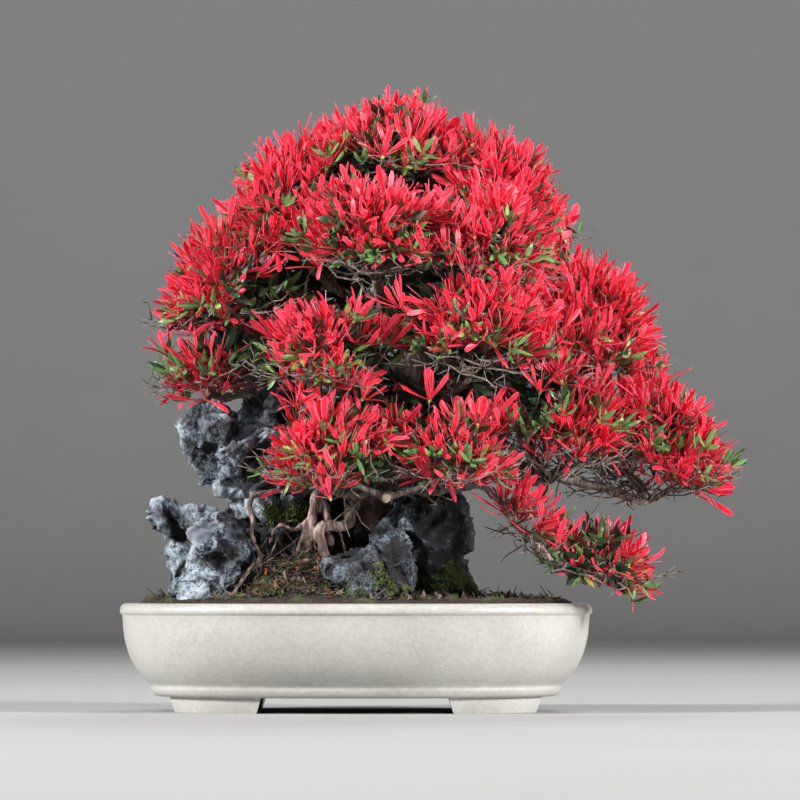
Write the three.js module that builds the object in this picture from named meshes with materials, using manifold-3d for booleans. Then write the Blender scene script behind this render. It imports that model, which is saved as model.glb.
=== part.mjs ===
// A kinsai satsuki azalea bonsai: an old azalea rooted over rough stones in an oval glazed pot.
// Millimetres, +Z up. The side that is looked at faces -Y. The pieces are drawn round the middle
// of the pot, and the finished plant is then slid so that its box is centred over the origin.

import * as THREE from "three";
import { mergeVertices } from "three/addons/utils/BufferGeometryUtils.js";
import { ConvexHull } from "three/addons/math/ConvexHull.js";
import { ImprovedNoise } from "three/addons/math/ImprovedNoise.js";
import Module from "manifold-3d";

const wasm = await Module();
wasm.setup();

// Driving dimensions of the pot
const potLength = 449;
const potWidth = 340;
const potHeight = 102.5;
const wallTop = 13;
const footHeight = 14.5;
const floorTop = 24;
const ovalPower = 2.25;
const potSides = 32;
const drainRadius = 11;
const drainAt = 92;

// Driving dimensions of the plant
const fitGap = 0.35;
const petalLength = 42;
const petalWidth = 11;
const leafLength = 25;
const leafWidth = 7.5;
const bladeThickness = 1.2;
const bloomSpace = 1500;
const shootsPerCloud = 4;
const goldenAngle = Math.PI * (3 - Math.sqrt(5));

// The trunk climbs from the top of the stones to the crown
const trunkLine = [
  [16, 22, 168],
  [24, 10, 212],
  [48, 0, 268],
  [57, -4, 325],
  [42, 4, 385],
  [24, 4, 445],
  [24, 4, 508],
];
const trunkRadius = { base: 27, top: 4.5 };

// Each cloud of flowers: the middle of its flat underside, its half length, half depth and rise,
// the way it leans, and the height on the trunk that its branch leaves
const clouds = {
  crown: { at: [34, 2, 512], size: [96, 80, 78], lean: [0, 0], leaves: 1 },
  crown_right: { at: [134, -4, 456], size: [68, 70, 102], lean: [0.2, -0.05], leaves: 0.72 },
  shoulder_left: { at: [-62, -6, 448], size: [74, 72, 114], lean: [-0.15, -0.05], leaves: 0.7 },
  front_high: { at: [18, -94, 424], size: [78, 64, 100], lean: [0, -0.3], leaves: 0.62 },
  front_high_right: { at: [122, -82, 418], size: [66, 60, 90], lean: [0.15, -0.3], leaves: 0.6 },
  back_high: { at: [40, 92, 432], size: [92, 66, 100], lean: [0, 0.3], leaves: 0.62 },
  wing_left: { at: [-120, -14, 370], size: [76, 74, 108], lean: [-0.15, -0.05], leaves: 0.5 },
  front_mid_left: { at: [-36, -98, 318], size: [72, 64, 98], lean: [-0.1, -0.3], leaves: 0.4 },
  front_mid: { at: [104, -106, 334], size: [84, 64, 104], lean: [0.05, -0.3], leaves: 0.44 },
  wing_right: { at: [210, -26, 330], size: [80, 74, 116], lean: [0.12, -0.05], leaves: 0.46 },
  back_left: { at: [-68, 92, 326], size: [88, 68, 96], lean: [-0.1, 0.3], leaves: 0.42 },
  back_right: { at: [142, 94, 330], size: [92, 70, 98], lean: [0.1, 0.3], leaves: 0.42 },
  wing_low_left: { at: [-126, -30, 306], size: [60, 58, 62], lean: [-0.25, -0.1], leaves: 0.36 },
  front_low_left: { at: [-26, -122, 214], size: [76, 64, 110], lean: [-0.05, -0.25], leaves: 0.2 },
  front_low: { at: [84, -118, 220], size: [70, 62, 100], lean: [0.05, -0.25], leaves: 0.2 },
  arm_right: { at: [176, -60, 230], size: [74, 70, 102], lean: [0.1, -0.15], leaves: 0.3 },
  arm_right_tip: { at: [282, -16, 206], size: [84, 72, 106], lean: [0.2, 0], leaves: 0.3 },
  drooping_right: { at: [218, -70, 126], size: [74, 58, 90], lean: [0.25, -0.15], leaves: 0.12 },
  back_low: { at: [54, 128, 236], size: [96, 64, 94], lean: [0, 0.25], leaves: 0.22 },
};

// Branches that don't run straight to their cloud pass these points
const branchTurns = {
  arm_right_tip: [[122, -14, 232], [196, -34, 206], [252, -24, 192]],
  drooping_right: [[104, -62, 216], [152, -66, 188], [184, -68, 146]],
  front_low_left: [[20, -60, 212], [2, -100, 204]],
  front_low: [[48, -62, 214], [64, -96, 206]],
  arm_right: [[92, -22, 236], [136, -42, 222]],
  wing_low_left: [[-24, -12, 318], [-86, -22, 304]],
};

// Surface roots run from the trunk's foot over the stones and down into the soil
const roots = [
  {
    line: [[6, 0, 206], [-26, -42, 207], [-37, -58, 196], [-41, -70, 176], [-43, -78, 158], [-40, -84, 142]],
    radius: [11, 5],
  },
  { line: [[-40, -64, 182], [-47, -76, 164], [-55, -84, 150], [-60, -90, 134]], radius: [6, 3] },
  {
    line: [[10, -10, 196], [-4, -52, 178], [-22, -70, 176], [-34, -76, 169], [-31, -80, 156], [-29, -84, 138]],
    radius: [8, 6],
  },
  {
    line: [
      [2, 8, 200], [-52, -28, 206], [-88, -58, 206], [-98, -68, 196],
      [-95, -76, 172], [-91, -82, 148], [-92, -92, 118],
    ],
    radius: [9, 4.5],
  },
  { line: [[-92, -80, 146], [-103, -94, 134], [-112, -104, 117], [-120, -112, 100]], radius: [4.5, 3.2] },
  {
    line: [[-20, -36, 206], [-46, -50, 196], [-62, -68, 172], [-66, -80, 150], [-68, -92, 122]],
    radius: [5, 3],
  },
  { line: [[34, 6, 208], [66, 4, 212], [90, 8, 186], [96, 10, 142], [102, 8, 104]], radius: [10, 5] },
  { line: [[14, 34, 190], [2, 72, 176], [-8, 92, 142], [-12, 104, 104]], radius: [10, 5] },
  { line: [[40, 30, 190], [62, 66, 172], [78, 84, 136], [86, 94, 104]], radius: [9, 4.5] },
];

// Rough stones, each built of a few chipped lumps that grow into one another
const stones = {
  stone_high: [
    { at: [-138, -42, 262], size: [31, 33, 34], turn: [0.2, 0.5, 0.3], seed: 11 },
    { at: [-108, -34, 236], size: [44, 38, 34], turn: [0.1, -0.5, 0.2], seed: 23, detail: 1 },
    { at: [-78, -8, 292], size: [34, 34, 58], turn: [0, 0.25, 0], seed: 37, detail: 1 },
    { at: [-84, -18, 186], size: [38, 38, 58], turn: [0, -0.1, 0.4], seed: 41 },
    { at: [-58, 14, 128], size: [62, 52, 60], turn: [0, 0, 0.2], seed: 59, detail: 1 },
  ],
  stone_low: [
    { at: [-134, -76, 142], size: [42, 36, 46], turn: [0.2, 0.3, 0.1], seed: 67 },
    { at: [-168, -74, 180], size: [30, 22, 22], turn: [0, 0.5, 0.2], seed: 71, detail: 1 },
    { at: [-140, -80, 108], size: [36, 32, 22], turn: [0, 0, 0], seed: 83, detail: 1 },
  ],
  stone_right: [
    { at: [62, -36, 160], size: [47, 46, 58], turn: [0, 0.1, 0.3], seed: 97 },
    { at: [86, -34, 122], size: [26, 34, 32], turn: [0, 0.2, 0], seed: 101, detail: 1 },
    { at: [20, 40, 136], size: [66, 50, 58], turn: [0, 0, 0.1], seed: 109, detail: 1 },
  ],
  stone_front: [
    { at: [8, -102, 128], size: [36, 28, 34], turn: [0.1, 0.5, 0.2], seed: 127 },
    { at: [34, -88, 138], size: [26, 26, 32], turn: [0, -0.6, 0], seed: 131, detail: 1 },
  ],
};

const material = (color, roughness) => new THREE.MeshStandardMaterial({ color, roughness, metalness: 0 });
const glaze = material("#d9d3c2", 0.3);
const earth = material("#3a2b20", 0.95);
const rock = material("#5c6570", 0.85);
const bark = material("#7b6450", 0.8);
const leafGreen = material("#3f6b35", 0.55);
const petalRed = material("#e0262f", 0.5);
const meshBlack = material("#1c1c1c", 0.6);

const noise = new ImprovedNoise();
const point = (p) => new THREE.Vector3(...p);

// A repeatable run of numbers from 0 to 1
function makeRandom(seed) {
  let state = seed;
  return () => {
    state = (state * 16807) % 2147483647;
    return state / 2147483647;
  };
}

// The closed body of a geometry, turned so that its faces point out
function bodyOf(geometry) {
  const bare = geometry.index ? geometry.toNonIndexed() : geometry.clone();
  bare.deleteAttribute("normal");
  bare.deleteAttribute("uv");
  const merged = mergeVertices(bare, 1e-3);
  const corners = merged.index.array;
  const kept = [];
  for (let i = 0; i < corners.length; i += 3) {
    const [a, b, c] = [corners[i], corners[i + 1], corners[i + 2]];
    if (a !== b && b !== c && c !== a) kept.push(a, b, c);
  }
  const build = (triangles) =>
    new wasm.Manifold(
      new wasm.Mesh({
        numProp: 3,
        vertProperties: new Float32Array(merged.attributes.position.array),
        triVerts: new Uint32Array(triangles),
      }),
    );
  const body = build(kept);
  return body.volume() >= 0 ? body : build(kept.reverse());
}

function joinAll(bodies) {
  return wasm.Manifold.union(bodies);
}

// Cutting can leave loose crumbs: only the largest piece is kept
function largestOf(body) {
  const pieces = body.decompose();
  return pieces.reduce((best, piece) => (piece.volume() > best.volume() ? piece : best));
}

function meshOf(name, body, finish) {
  const made = body.getMesh();
  const geometry = new THREE.BufferGeometry();
  geometry.setAttribute("position", new THREE.BufferAttribute(new Float32Array(made.vertProperties), 3));
  geometry.setIndex(new THREE.BufferAttribute(new Uint32Array(made.triVerts), 1));
  geometry.computeVertexNormals();
  const mesh = new THREE.Mesh(geometry, finish);
  mesh.name = name;
  return mesh;
}

// A point of the pot's oval, whose half width stays a fixed amount under its half length
const ovalStep = (potLength - potWidth) / 2;
const innerTurn = 150;
function ovalPoint(reach, angle) {
  const across = reach >= innerTurn ? reach - ovalStep : (reach * (innerTurn - ovalStep)) / innerTurn;
  const squarer = (value) => Math.sign(value) * Math.abs(value) ** (2 / ovalPower);
  return [reach * squarer(Math.cos(angle)), across * squarer(Math.sin(angle))];
}

// A profile of half lengths and heights, swept round the oval
function ovalSweep(profile, heightAt = (x, y, z) => z) {
  const points = profile.map(([reach, z]) => new THREE.Vector2(reach, z));
  const geometry = new THREE.LatheGeometry(points, potSides);
  const place = geometry.attributes.position;
  for (let i = 0; i < place.count; i++) {
    const reach = Math.hypot(place.getX(i), place.getZ(i));
    const [x, y] = ovalPoint(reach, Math.atan2(place.getX(i), place.getZ(i)));
    place.setXYZ(i, x, y, heightAt(x, y, place.getY(i), reach));
  }
  return bodyOf(geometry);
}

// The pot's profile, from the middle of its underside, over the rim and back to the middle of its floor
const halfLength = potLength / 2;
const outerWall = [
  [0, footHeight],
  [halfLength - 36, footHeight],
  [halfLength - 30, 17.5],
  [halfLength - 29, 22],
  [halfLength - 30.8, 23.5],
  [halfLength - 22.5, 31.5],
  [halfLength - 14.5, 42],
  [halfLength - 8, 56],
  [halfLength - 4, 72],
  [halfLength - 2.4, 91.5],
  [halfLength, 93.5],
  [halfLength, 99.5],
  [halfLength - 3, potHeight],
];
const innerWall = [
  [halfLength - wallTop, potHeight],
  [halfLength - wallTop - 2, 99],
  [halfLength - 18, 66],
  [halfLength - 46, floorTop],
];

// A foot follows the oval of the base between two angles, and narrows a little to its sole
const footReach = { outer: halfLength - 40, inner: halfLength - 72, middle: halfLength - 56 };
const footSweep = { from: 0.42, to: 1.06, middle: 0.74, steps: 5 };
function foot(side, end) {
  const outline = new THREE.Shape();
  const ring = [];
  for (let i = 0; i <= footSweep.steps; i++) {
    ring.push(footSweep.from + ((footSweep.to - footSweep.from) * i) / footSweep.steps);
  }
  const outerEdge = ring.map((angle) => ovalPoint(footReach.outer, angle));
  const innerEdge = ring.map((angle) => ovalPoint(footReach.inner, angle)).reverse();
  outline.setFromPoints([...outerEdge, ...innerEdge].map(([x, y]) => new THREE.Vector2(x, y)));
  const geometry = new THREE.ExtrudeGeometry(outline, { depth: footHeight + 3, bevelEnabled: false });
  const place = geometry.attributes.position;
  const [midX, midY] = ovalPoint(footReach.middle, footSweep.middle);
  for (let i = 0; i < place.count; i++) {
    const keep = place.getZ(i) < 1 ? 0.93 : 1;
    const x = midX + (place.getX(i) - midX) * keep;
    const y = midY + (place.getY(i) - midY) * keep;
    place.setXYZ(i, x * end, y * side, place.getZ(i));
  }
  return bodyOf(geometry);
}

function drainHole(end) {
  const hole = new THREE.CylinderGeometry(drainRadius, drainRadius, 40, 12);
  hole.rotateX(Math.PI / 2).translate(drainAt * end, 0, footHeight);
  return bodyOf(hole);
}

function makePot() {
  const shell = ovalSweep([...outerWall, ...innerWall, [0, floorTop]]);
  const feet = [[1, 1], [1, -1], [-1, 1], [-1, -1]].map(([side, end]) => foot(side, end));
  return joinAll([shell, ...feet]).subtract(joinAll([drainHole(1), drainHole(-1)]));
}

// A square of plastic net lies over each drain hole
const net = { side: 36, thick: 1.2, windows: 2, window: 12, pitch: 16 };
function makeNet(end, grow = 0) {
  const bottom = floorTop + fitGap;
  const sheet = new THREE.BoxGeometry(net.side + 2 * grow, net.side + 2 * grow, net.thick + 2 * grow);
  sheet.translate(drainAt * end, 0, bottom + net.thick / 2);
  if (grow) return bodyOf(sheet);
  const windows = [];
  for (let i = 0; i < net.windows; i++) {
    for (let j = 0; j < net.windows; j++) {
      const window = new THREE.BoxGeometry(net.window, net.window, 4 * net.thick);
      window.translate(drainAt * end + (i - 0.5) * net.pitch, (j - 0.5) * net.pitch, bottom);
      windows.push(bodyOf(window));
    }
  }
  return bodyOf(sheet).subtract(joinAll(windows));
}

// The soil is level at the rim, and banked up among the stones to the trunk's foot
const bank = { x: -26, y: 32, rise: 84, spreadX: 62, spreadY: 50 };
function soilHeight(x, y) {
  const fromBank = ((x - bank.x) / bank.spreadX) ** 2 + ((y - bank.y) / bank.spreadY) ** 2;
  const lumps = 2.6 * noise.noise(x / 19, y / 19, 3.7);
  return 105 + bank.rise * Math.exp(-fromBank / 2) + lumps;
}

function makeSoil(cutters) {
  const rim = halfLength - wallTop - 2 - 0.6;
  const profile = [
    [0, floorTop + fitGap],
    [halfLength - 46.5, floorTop + fitGap],
    [halfLength - 18.5, 66],
    [rim, 97],
    ...[0.84, 0.62, 0.4, 0.2, 0].map((share) => [rim * share, 105]),
  ];
  const heap = ovalSweep(profile, (x, y, z) => (z > 100 ? soilHeight(x, y) : z));
  return largestOf(heap.subtract(joinAll(cutters)));
}

// A lump of stone: a ball with flats chipped off it, roughened by noise. grow gives the space it needs
function stoneLump({ at, size, turn, seed, detail = 2 }, grow) {
  const random = makeRandom(seed);
  const flats = [];
  for (let i = 0; i < 14; i++) {
    const normal = point([random() - 0.5, random() - 0.5, random() - 0.5]).normalize();
    flats.push({ normal, reach: 0.76 + 0.2 * random() });
  }
  const geometry = new THREE.IcosahedronGeometry(1, detail);
  const place = geometry.attributes.position;
  const turned = new THREE.Euler(...turn);
  for (let i = 0; i < place.count; i++) {
    const way = new THREE.Vector3().fromBufferAttribute(place, i).normalize();
    let reach = 1.1 + 0.4 * noise.noise(2.4 * way.x + seed, 2.4 * way.y, 2.4 * way.z);
    for (const flat of flats) {
      const facing = way.dot(flat.normal);
      if (facing > 0.1) reach = Math.min(reach, flat.reach / facing);
    }
    const p = way.multiplyScalar(reach).multiply(point(size));
    p.addScaledVector(p.clone().normalize(), grow).applyEuler(turned).add(point(at));
    place.setXYZ(i, p.x, p.y, p.z);
  }
  return bodyOf(geometry);
}

const makeStone = (name, grow = 0) => joinAll(stones[name].map((lump) => stoneLump(lump, grow)));

// A round limb along a smooth line, thinning from one end to the other. grow gives the space it needs
function limb(line, [thick, thin], sides, steps, grow) {
  const curve = new THREE.CatmullRomCurve3(line.map(point), false, "centripetal");
  const frames = curve.computeFrenetFrames(steps, false);
  const geometry = new THREE.CylinderGeometry(1, 1, 1, sides, steps);
  const place = geometry.attributes.position;
  for (let i = 0; i < place.count; i++) {
    const step = Math.round((0.5 - place.getY(i)) * steps);
    const along = step / steps;
    const radius = thick + (thin - thick) * along ** 0.8 + grow;
    const p = curve.getPointAt(along);
    p.addScaledVector(frames.normals[step], place.getX(i) * radius);
    p.addScaledVector(frames.binormals[step], place.getZ(i) * radius);
    const overshoot = grow * (along === 0 ? -1 : along === 1 ? 1 : 0);
    p.addScaledVector(frames.tangents[step], overshoot);
    place.setXYZ(i, p.x, p.y, p.z);
  }
  return bodyOf(geometry);
}

const cloudAxis = (cloud) => new THREE.Vector3(cloud.lean[0], cloud.lean[1], 1).normalize();
const hubDepth = 9;
const hubOf = (cloud) => point(cloud.at).addScaledVector(cloudAxis(cloud), -hubDepth);

// The trunk with its roots and one branch for each cloud, which ends in that cloud's hub
function makeTrunk(grow = 0) {
  const trunkCurve = new THREE.CatmullRomCurve3(trunkLine.map(point), false, "centripetal");
  const limbs = [limb(trunkLine, [trunkRadius.base, trunkRadius.top], 9, 10, grow)];
  for (const root of roots) limbs.push(limb(root.line, root.radius, 5, 5, grow));
  for (const [name, cloud] of Object.entries(clouds)) {
    if (name === "crown") continue;
    const start = trunkCurve.getPointAt(cloud.leaves);
    const end = hubOf(cloud);
    const sag = start.clone().lerp(end, 0.55);
    sag.z = Math.min(start.z, end.z) * 0.5 + sag.z * 0.5 - 6;
    const turns = branchTurns[name] ?? [sag.toArray()];
    const thick = Math.min(9.5, 4.5 + start.distanceTo(end) / 40);
    limbs.push(limb([start.toArray(), ...turns, end.toArray()], [thick, 3.4], 4, turns.length + 1, grow));
  }
  return joinAll(limbs);
}

// The space that belongs to each cloud: planes between it and every other cloud, set by their sizes
function cellOf(name) {
  const heart = (cloud) => point(cloud.at).addScaledVector(cloudAxis(cloud), cloud.size[2] * 0.35);
  const extent = ({ size }, way) => Math.hypot(size[0] * way.x, size[1] * way.y, size[2] * 0.65 * way.z);
  const own = clouds[name];
  const planes = [];
  for (const [other, cloud] of Object.entries(clouds)) {
    if (other === name) continue;
    const way = heart(cloud).sub(heart(own));
    const distance = way.length();
    way.normalize();
    const share = extent(own, way) / (extent(own, way) + extent(cloud, way));
    planes.push({ normal: way, reach: way.dot(heart(own)) + distance * share - fitGap / 2 });
  }
  return planes;
}

const isInside = (planes, p) =>
  p.z > potHeight + 4 && planes.every(({ normal, reach }) => normal.dot(p) <= reach);

// A ring of points round an axis, at the angles halfway between the blades that will stand there
function ringAround({ at, axis, turns, hub }) {
  const side = Math.abs(axis.z) < 0.9 ? new THREE.Vector3(0, 0, 1) : new THREE.Vector3(1, 0, 0);
  const tangent = side.addScaledVector(axis, -side.dot(axis)).normalize();
  const bitangent = new THREE.Vector3().crossVectors(axis, tangent);
  const around = (angle) =>
    tangent.clone().multiplyScalar(Math.cos(angle)).addScaledVector(bitangent, Math.sin(angle));
  const corners = turns.map((turn, i) => {
    const before = i === 0 ? turns[turns.length - 1] - 2 * Math.PI : turns[i - 1];
    return at.clone().addScaledVector(around((before + turn) / 2), hub);
  });
  return { around, corners };
}

// One flower or tuft of leaves on a ring: a blade between each two corners of the ring, all meeting
// in a point over its middle. A blade that would leave its own space or cross another is made shorter
function bladesOn({ at, axis, turns, spread, length, width, pointed, hub }, ring, space, random) {
  const top = at.clone().addScaledVector(axis, hub * 0.8);
  const faces = [];
  turns.forEach((turn, i) => {
    const near = ring.corners[i];
    const far = ring.corners[(i + 1) % turns.length];
    const open = spread[0] + (spread[1] - spread[0]) * random();
    const outward = ring.around(turn);
    const way = axis.clone().multiplyScalar(Math.cos(open)).addScaledVector(outward, Math.sin(open));
    const across = ring.around(turn + Math.PI / 2);
    const ridgeWay = new THREE.Vector3().crossVectors(way, across);
    const full = length * (0.85 + 0.25 * random());
    for (let share = 1; share > 0.25; share -= 0.08) {
      const tip = at.clone().addScaledVector(way, full * share);
      const middle = at.clone().addScaledVector(way, full * share * (pointed ? 0.55 : 0.8));
      const left = middle.clone().addScaledVector(across, (-width / 2) * (0.4 + 0.6 * share));
      const right = middle.clone().addScaledVector(across, (width / 2) * (0.4 + 0.6 * share));
      const ridge = (pointed ? middle : tip).clone().addScaledVector(ridgeWay, bladeThickness);
      const spine = new THREE.Line3(at.clone().lerp(tip, 0.3), tip);
      const isFree = space.taken.every((other) => spine.distanceSqToLine3(other) > space.apart ** 2);
      if (!isFree || ![left, right, ridge, tip].every((p) => isInside(space.planes, p))) continue;
      space.own.push(spine);
      faces.push(near, far, right, near, right, left);
      faces.push(top, near, left, top, left, ridge, far, top, ridge, far, ridge, right);
      if (pointed) faces.push(left, tip, ridge, tip, right, ridge, left, right, tip);
      else faces.push(left, right, ridge);
      return;
    }
    faces.push(near, far, top);
  });
  space.taken.push(...space.own.splice(0));
  return faces;
}

// One closed surface: the tight skin round every foot, with what grows on each foot in its place.
// A foot that the skin doesn't touch all round grows nothing
function growOn(feet, others) {
  const owners = new Map();
  feet.forEach((foot, i) => foot.corners.forEach((corner) => owners.set(corner, i)));
  const skin = new ConvexHull().setFromPoints([...owners.keys(), ...others]);
  const faces = [];
  const covers = feet.map(() => []);
  for (const { edge } of skin.faces) {
    const corners = [edge.tail().point, edge.head().point, edge.next.head().point];
    const [owner, ...rest] = corners.map((corner) => owners.get(corner));
    const isCover = owner !== undefined && rest.every((other) => other === owner);
    (isCover ? covers[owner] : faces).push(...corners);
  }
  feet.forEach((foot, i) => {
    const isWhole = covers[i].length === 3 * (foot.corners.length - 2);
    faces.push(...(isWhole ? foot.grow() : covers[i]));
  });
  return bodyOf(new THREE.BufferGeometry().setFromPoints(faces));
}

// Two directions that lie in a cloud's underside
function cloudSides(axis) {
  const right = new THREE.Vector3(1, 0, 0).addScaledVector(axis, -axis.x).normalize();
  return [right, new THREE.Vector3().crossVectors(axis, right)];
}

// The flowers of a cloud stand out of a smaller dome, evenly spread, and end at the cloud's outline
function makeBlooms(name, seed) {
  const cloud = clouds[name];
  const axis = cloudAxis(cloud);
  const [right, back] = cloudSides(axis);
  const at = point(cloud.at);
  const planes = [...cellOf(name), { normal: axis.clone().negate(), reach: 0.001 - axis.dot(at) }];
  const space = { planes, taken: [], own: [], apart: petalWidth * 0.95 };
  const random = makeRandom(seed);
  const core = cloud.size.map((half) => half - petalLength * 0.74);
  const domePoint = (across, along, rise) =>
    at
      .clone()
      .addScaledVector(right, across * core[0])
      .addScaledVector(back, along * core[1])
      .addScaledVector(axis, rise * core[2]);
  const hem = [];
  for (let i = 0; i < 7; i++) {
    const angle = ((i + 0.5) * 2 * Math.PI) / 7;
    const p = domePoint(0.8 * Math.cos(angle), 0.8 * Math.sin(angle), 0);
    while (!isInside(planes, p)) p.lerp(at, 0.1);
    hem.push(p);
  }
  const [length, depth, height] = cloud.size;
  const bloomCount = Math.round((length * depth + 0.5 * (length + depth) * height) / bloomSpace);
  const feet = [];
  for (let i = 0; i < bloomCount; i++) {
    const rise = 0.97 - 0.82 * ((i + 0.5) / bloomCount);
    const reach = Math.sqrt(1 - rise * rise);
    const angle = i * goldenAngle + seed;
    const [across, along] = [reach * Math.cos(angle), reach * Math.sin(angle)];
    const outward = right
      .clone()
      .multiplyScalar(across / core[0])
      .addScaledVector(back, along / core[1])
      .addScaledVector(axis, rise / core[2])
      .normalize();
    const foot = domePoint(across, along, rise);
    const heart = domePoint(0, 0, 0.3);
    while (!isInside(planes, foot.clone().addScaledVector(outward, 8))) foot.lerp(heart, 0.06);
    const first = 2 * Math.PI * random();
    const bloom = {
      at: foot,
      axis: outward,
      turns: [0, 1, 2, 3, 4].map((k) => first + (k * 2 * Math.PI) / 5),
      spread: [0.35, 1.0],
      length: petalLength,
      width: petalWidth,
      pointed: false,
      hub: 3.4,
    };
    const ring = ringAround(bloom);
    feet.push({ corners: ring.corners, grow: () => bladesOn(bloom, ring, space, random) });
  }
  return growOn(feet, hem);
}

// Under the flowers a fan of twigs leaves the end of the branch, each with a tuft of leaves
function makeSpray(name, seed) {
  const cloud = clouds[name];
  const axis = cloudAxis(cloud);
  const [right, back] = cloudSides(axis);
  const at = point(cloud.at);
  const planes = [...cellOf(name), { normal: axis, reach: axis.dot(at) - fitGap }];
  const space = { planes, taken: [], own: [], apart: leafWidth };
  const random = makeRandom(seed + 500);
  const feet = [];
  for (let i = 0; i < shootsPerCloud; i++) {
    const angle = ((i + 0.3 * random()) * 2 * Math.PI) / shootsPerCloud + seed;
    const way = right.clone().multiplyScalar(Math.cos(angle)).addScaledVector(back, Math.sin(angle));
    const edge = Math.hypot(cloud.size[0] * Math.cos(angle), cloud.size[1] * Math.sin(angle));
    let reach = edge - leafLength * 0.8;
    let end;
    for (; reach > 14; reach -= 4) {
      end = at.clone().addScaledVector(way, reach).addScaledVector(axis, -7);
      if (isInside(planes, end.clone().addScaledVector(way, 5))) break;
    }
    const twig = end.clone().sub(hubOf(cloud)).normalize();
    const turns = [0.9, 3.1, 5.3];
    const foot = ringAround({ at: hubOf(cloud).addScaledVector(twig, 7.5), axis: twig, turns, hub: 2.4 });
    const tuft = {
      at: end,
      axis: twig,
      turns,
      spread: [0.9, 1.1],
      length: leafLength,
      width: leafWidth,
      pointed: true,
      hub: 1.9,
    };
    const ring = ringAround(tuft);
    space.taken.push(new THREE.Line3(foot.corners[0], hubOf(cloud).lerp(end, 0.75)));
    const grow = () => {
      const stem = foot.corners.flatMap((near, k) => {
        const next = (k + 1) % turns.length;
        return [near, foot.corners[next], ring.corners[next], near, ring.corners[next], ring.corners[k]];
      });
      return [...stem, ...bladesOn(tuft, ring, space, random)];
    };
    feet.push({ corners: foot.corners, grow });
  }
  const underside = at.addScaledVector(axis, -fitGap);
  const seat = ringAround({ at: underside, axis, turns: [0.5, 2.6, 4.7], hub: 4.5 });
  return growOn(feet, [...seat.corners, hubOf(cloud).addScaledVector(axis, -8)]);
}

// Puts the plant together: what comes later is cut to the space that is left for it
const plant = new THREE.Group();
const trunkRoom = makeTrunk(fitGap);
const stoneOrder = Object.keys(stones);
const stoneRoom = Object.fromEntries(stoneOrder.map((name) => [name, makeStone(name, 0.6)]));

plant.add(meshOf("pot", makePot(), glaze));
plant.add(meshOf("drain_net_left", makeNet(-1), meshBlack));
plant.add(meshOf("drain_net_right", makeNet(1), meshBlack));
stoneOrder.forEach((name, i) => {
  const taken = [trunkRoom, ...stoneOrder.slice(0, i).map((earlier) => stoneRoom[earlier])];
  plant.add(meshOf(name, largestOf(makeStone(name).subtract(joinAll(taken))), rock));
});
const solidRoom = joinAll([trunkRoom, ...Object.values(stoneRoom)]);
const soilCutters = [trunkRoom, ...Object.values(stoneRoom), makeNet(1, fitGap), makeNet(-1, fitGap)];
plant.add(meshOf("soil", makeSoil(soilCutters), earth));
plant.add(meshOf("trunk", makeTrunk(), bark));
Object.keys(clouds).forEach((name, i) => {
  plant.add(meshOf("spray_" + name, largestOf(makeSpray(name, i + 3).subtract(solidRoom)), leafGreen));
  plant.add(meshOf("blooms_" + name, largestOf(makeBlooms(name, i + 3).subtract(solidRoom)), petalRed));
});

// The middle of the whole plant's box is brought over the origin
const extent = new THREE.Box3().setFromObject(plant);
const middle = extent.getCenter(new THREE.Vector3());
plant.position.set(-middle.x, -middle.y, 0);

const bonsai = new THREE.Group();
bonsai.add(plant);

export default bonsai;
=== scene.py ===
# A kinsai satsuki azalea bonsai in flower, rooted over rough stones in a cream oval pot.
# Blender works in metres: what is given in millimetres is multiplied by mm where it is used.
import math
import bpy
import numpy as np
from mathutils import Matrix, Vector, noise


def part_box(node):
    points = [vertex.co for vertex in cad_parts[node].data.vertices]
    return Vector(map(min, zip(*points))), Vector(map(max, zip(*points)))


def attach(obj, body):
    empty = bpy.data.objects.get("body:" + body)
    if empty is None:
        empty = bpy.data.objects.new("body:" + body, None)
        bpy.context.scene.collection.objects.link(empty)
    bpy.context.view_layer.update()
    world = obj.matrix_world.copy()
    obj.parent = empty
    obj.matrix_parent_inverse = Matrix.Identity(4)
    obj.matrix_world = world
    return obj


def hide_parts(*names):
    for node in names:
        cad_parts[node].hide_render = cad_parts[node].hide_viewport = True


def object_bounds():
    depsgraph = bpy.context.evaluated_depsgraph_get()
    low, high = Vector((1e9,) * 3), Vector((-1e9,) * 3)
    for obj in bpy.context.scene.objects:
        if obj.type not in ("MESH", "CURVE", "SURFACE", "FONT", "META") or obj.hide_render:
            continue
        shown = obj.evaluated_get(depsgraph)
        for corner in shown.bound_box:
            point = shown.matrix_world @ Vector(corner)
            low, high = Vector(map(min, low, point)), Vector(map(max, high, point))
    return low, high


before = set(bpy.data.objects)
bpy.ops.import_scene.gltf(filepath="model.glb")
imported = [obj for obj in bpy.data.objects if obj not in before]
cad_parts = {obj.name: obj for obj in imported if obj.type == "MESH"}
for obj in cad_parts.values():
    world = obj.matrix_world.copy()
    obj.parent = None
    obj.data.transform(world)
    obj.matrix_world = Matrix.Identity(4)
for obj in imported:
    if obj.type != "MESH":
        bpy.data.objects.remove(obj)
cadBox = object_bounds()
mm = 0.001
potLow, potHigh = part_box("pot")
potMiddle = np.array([(potLow.x + potHigh.x) / 2, (potLow.y + potHigh.y) / 2, 0])
print("frame loaded")


# Picking, editing and finishing pieces
def deselectAll():
    if bpy.context.mode != "OBJECT":
        bpy.ops.object.mode_set(mode="OBJECT")
    bpy.ops.object.select_all(action="DESELECT")


def pickOnly(piece):
    deselectAll()
    piece.hide_viewport = False
    piece.select_set(True)
    bpy.context.view_layer.objects.active = piece


def openEdit(piece):
    pickOnly(piece)
    bpy.ops.object.mode_set(mode="EDIT")
    bpy.ops.mesh.select_all(action="SELECT")


def closeEdit():
    bpy.ops.object.mode_set(mode="OBJECT")


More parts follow.
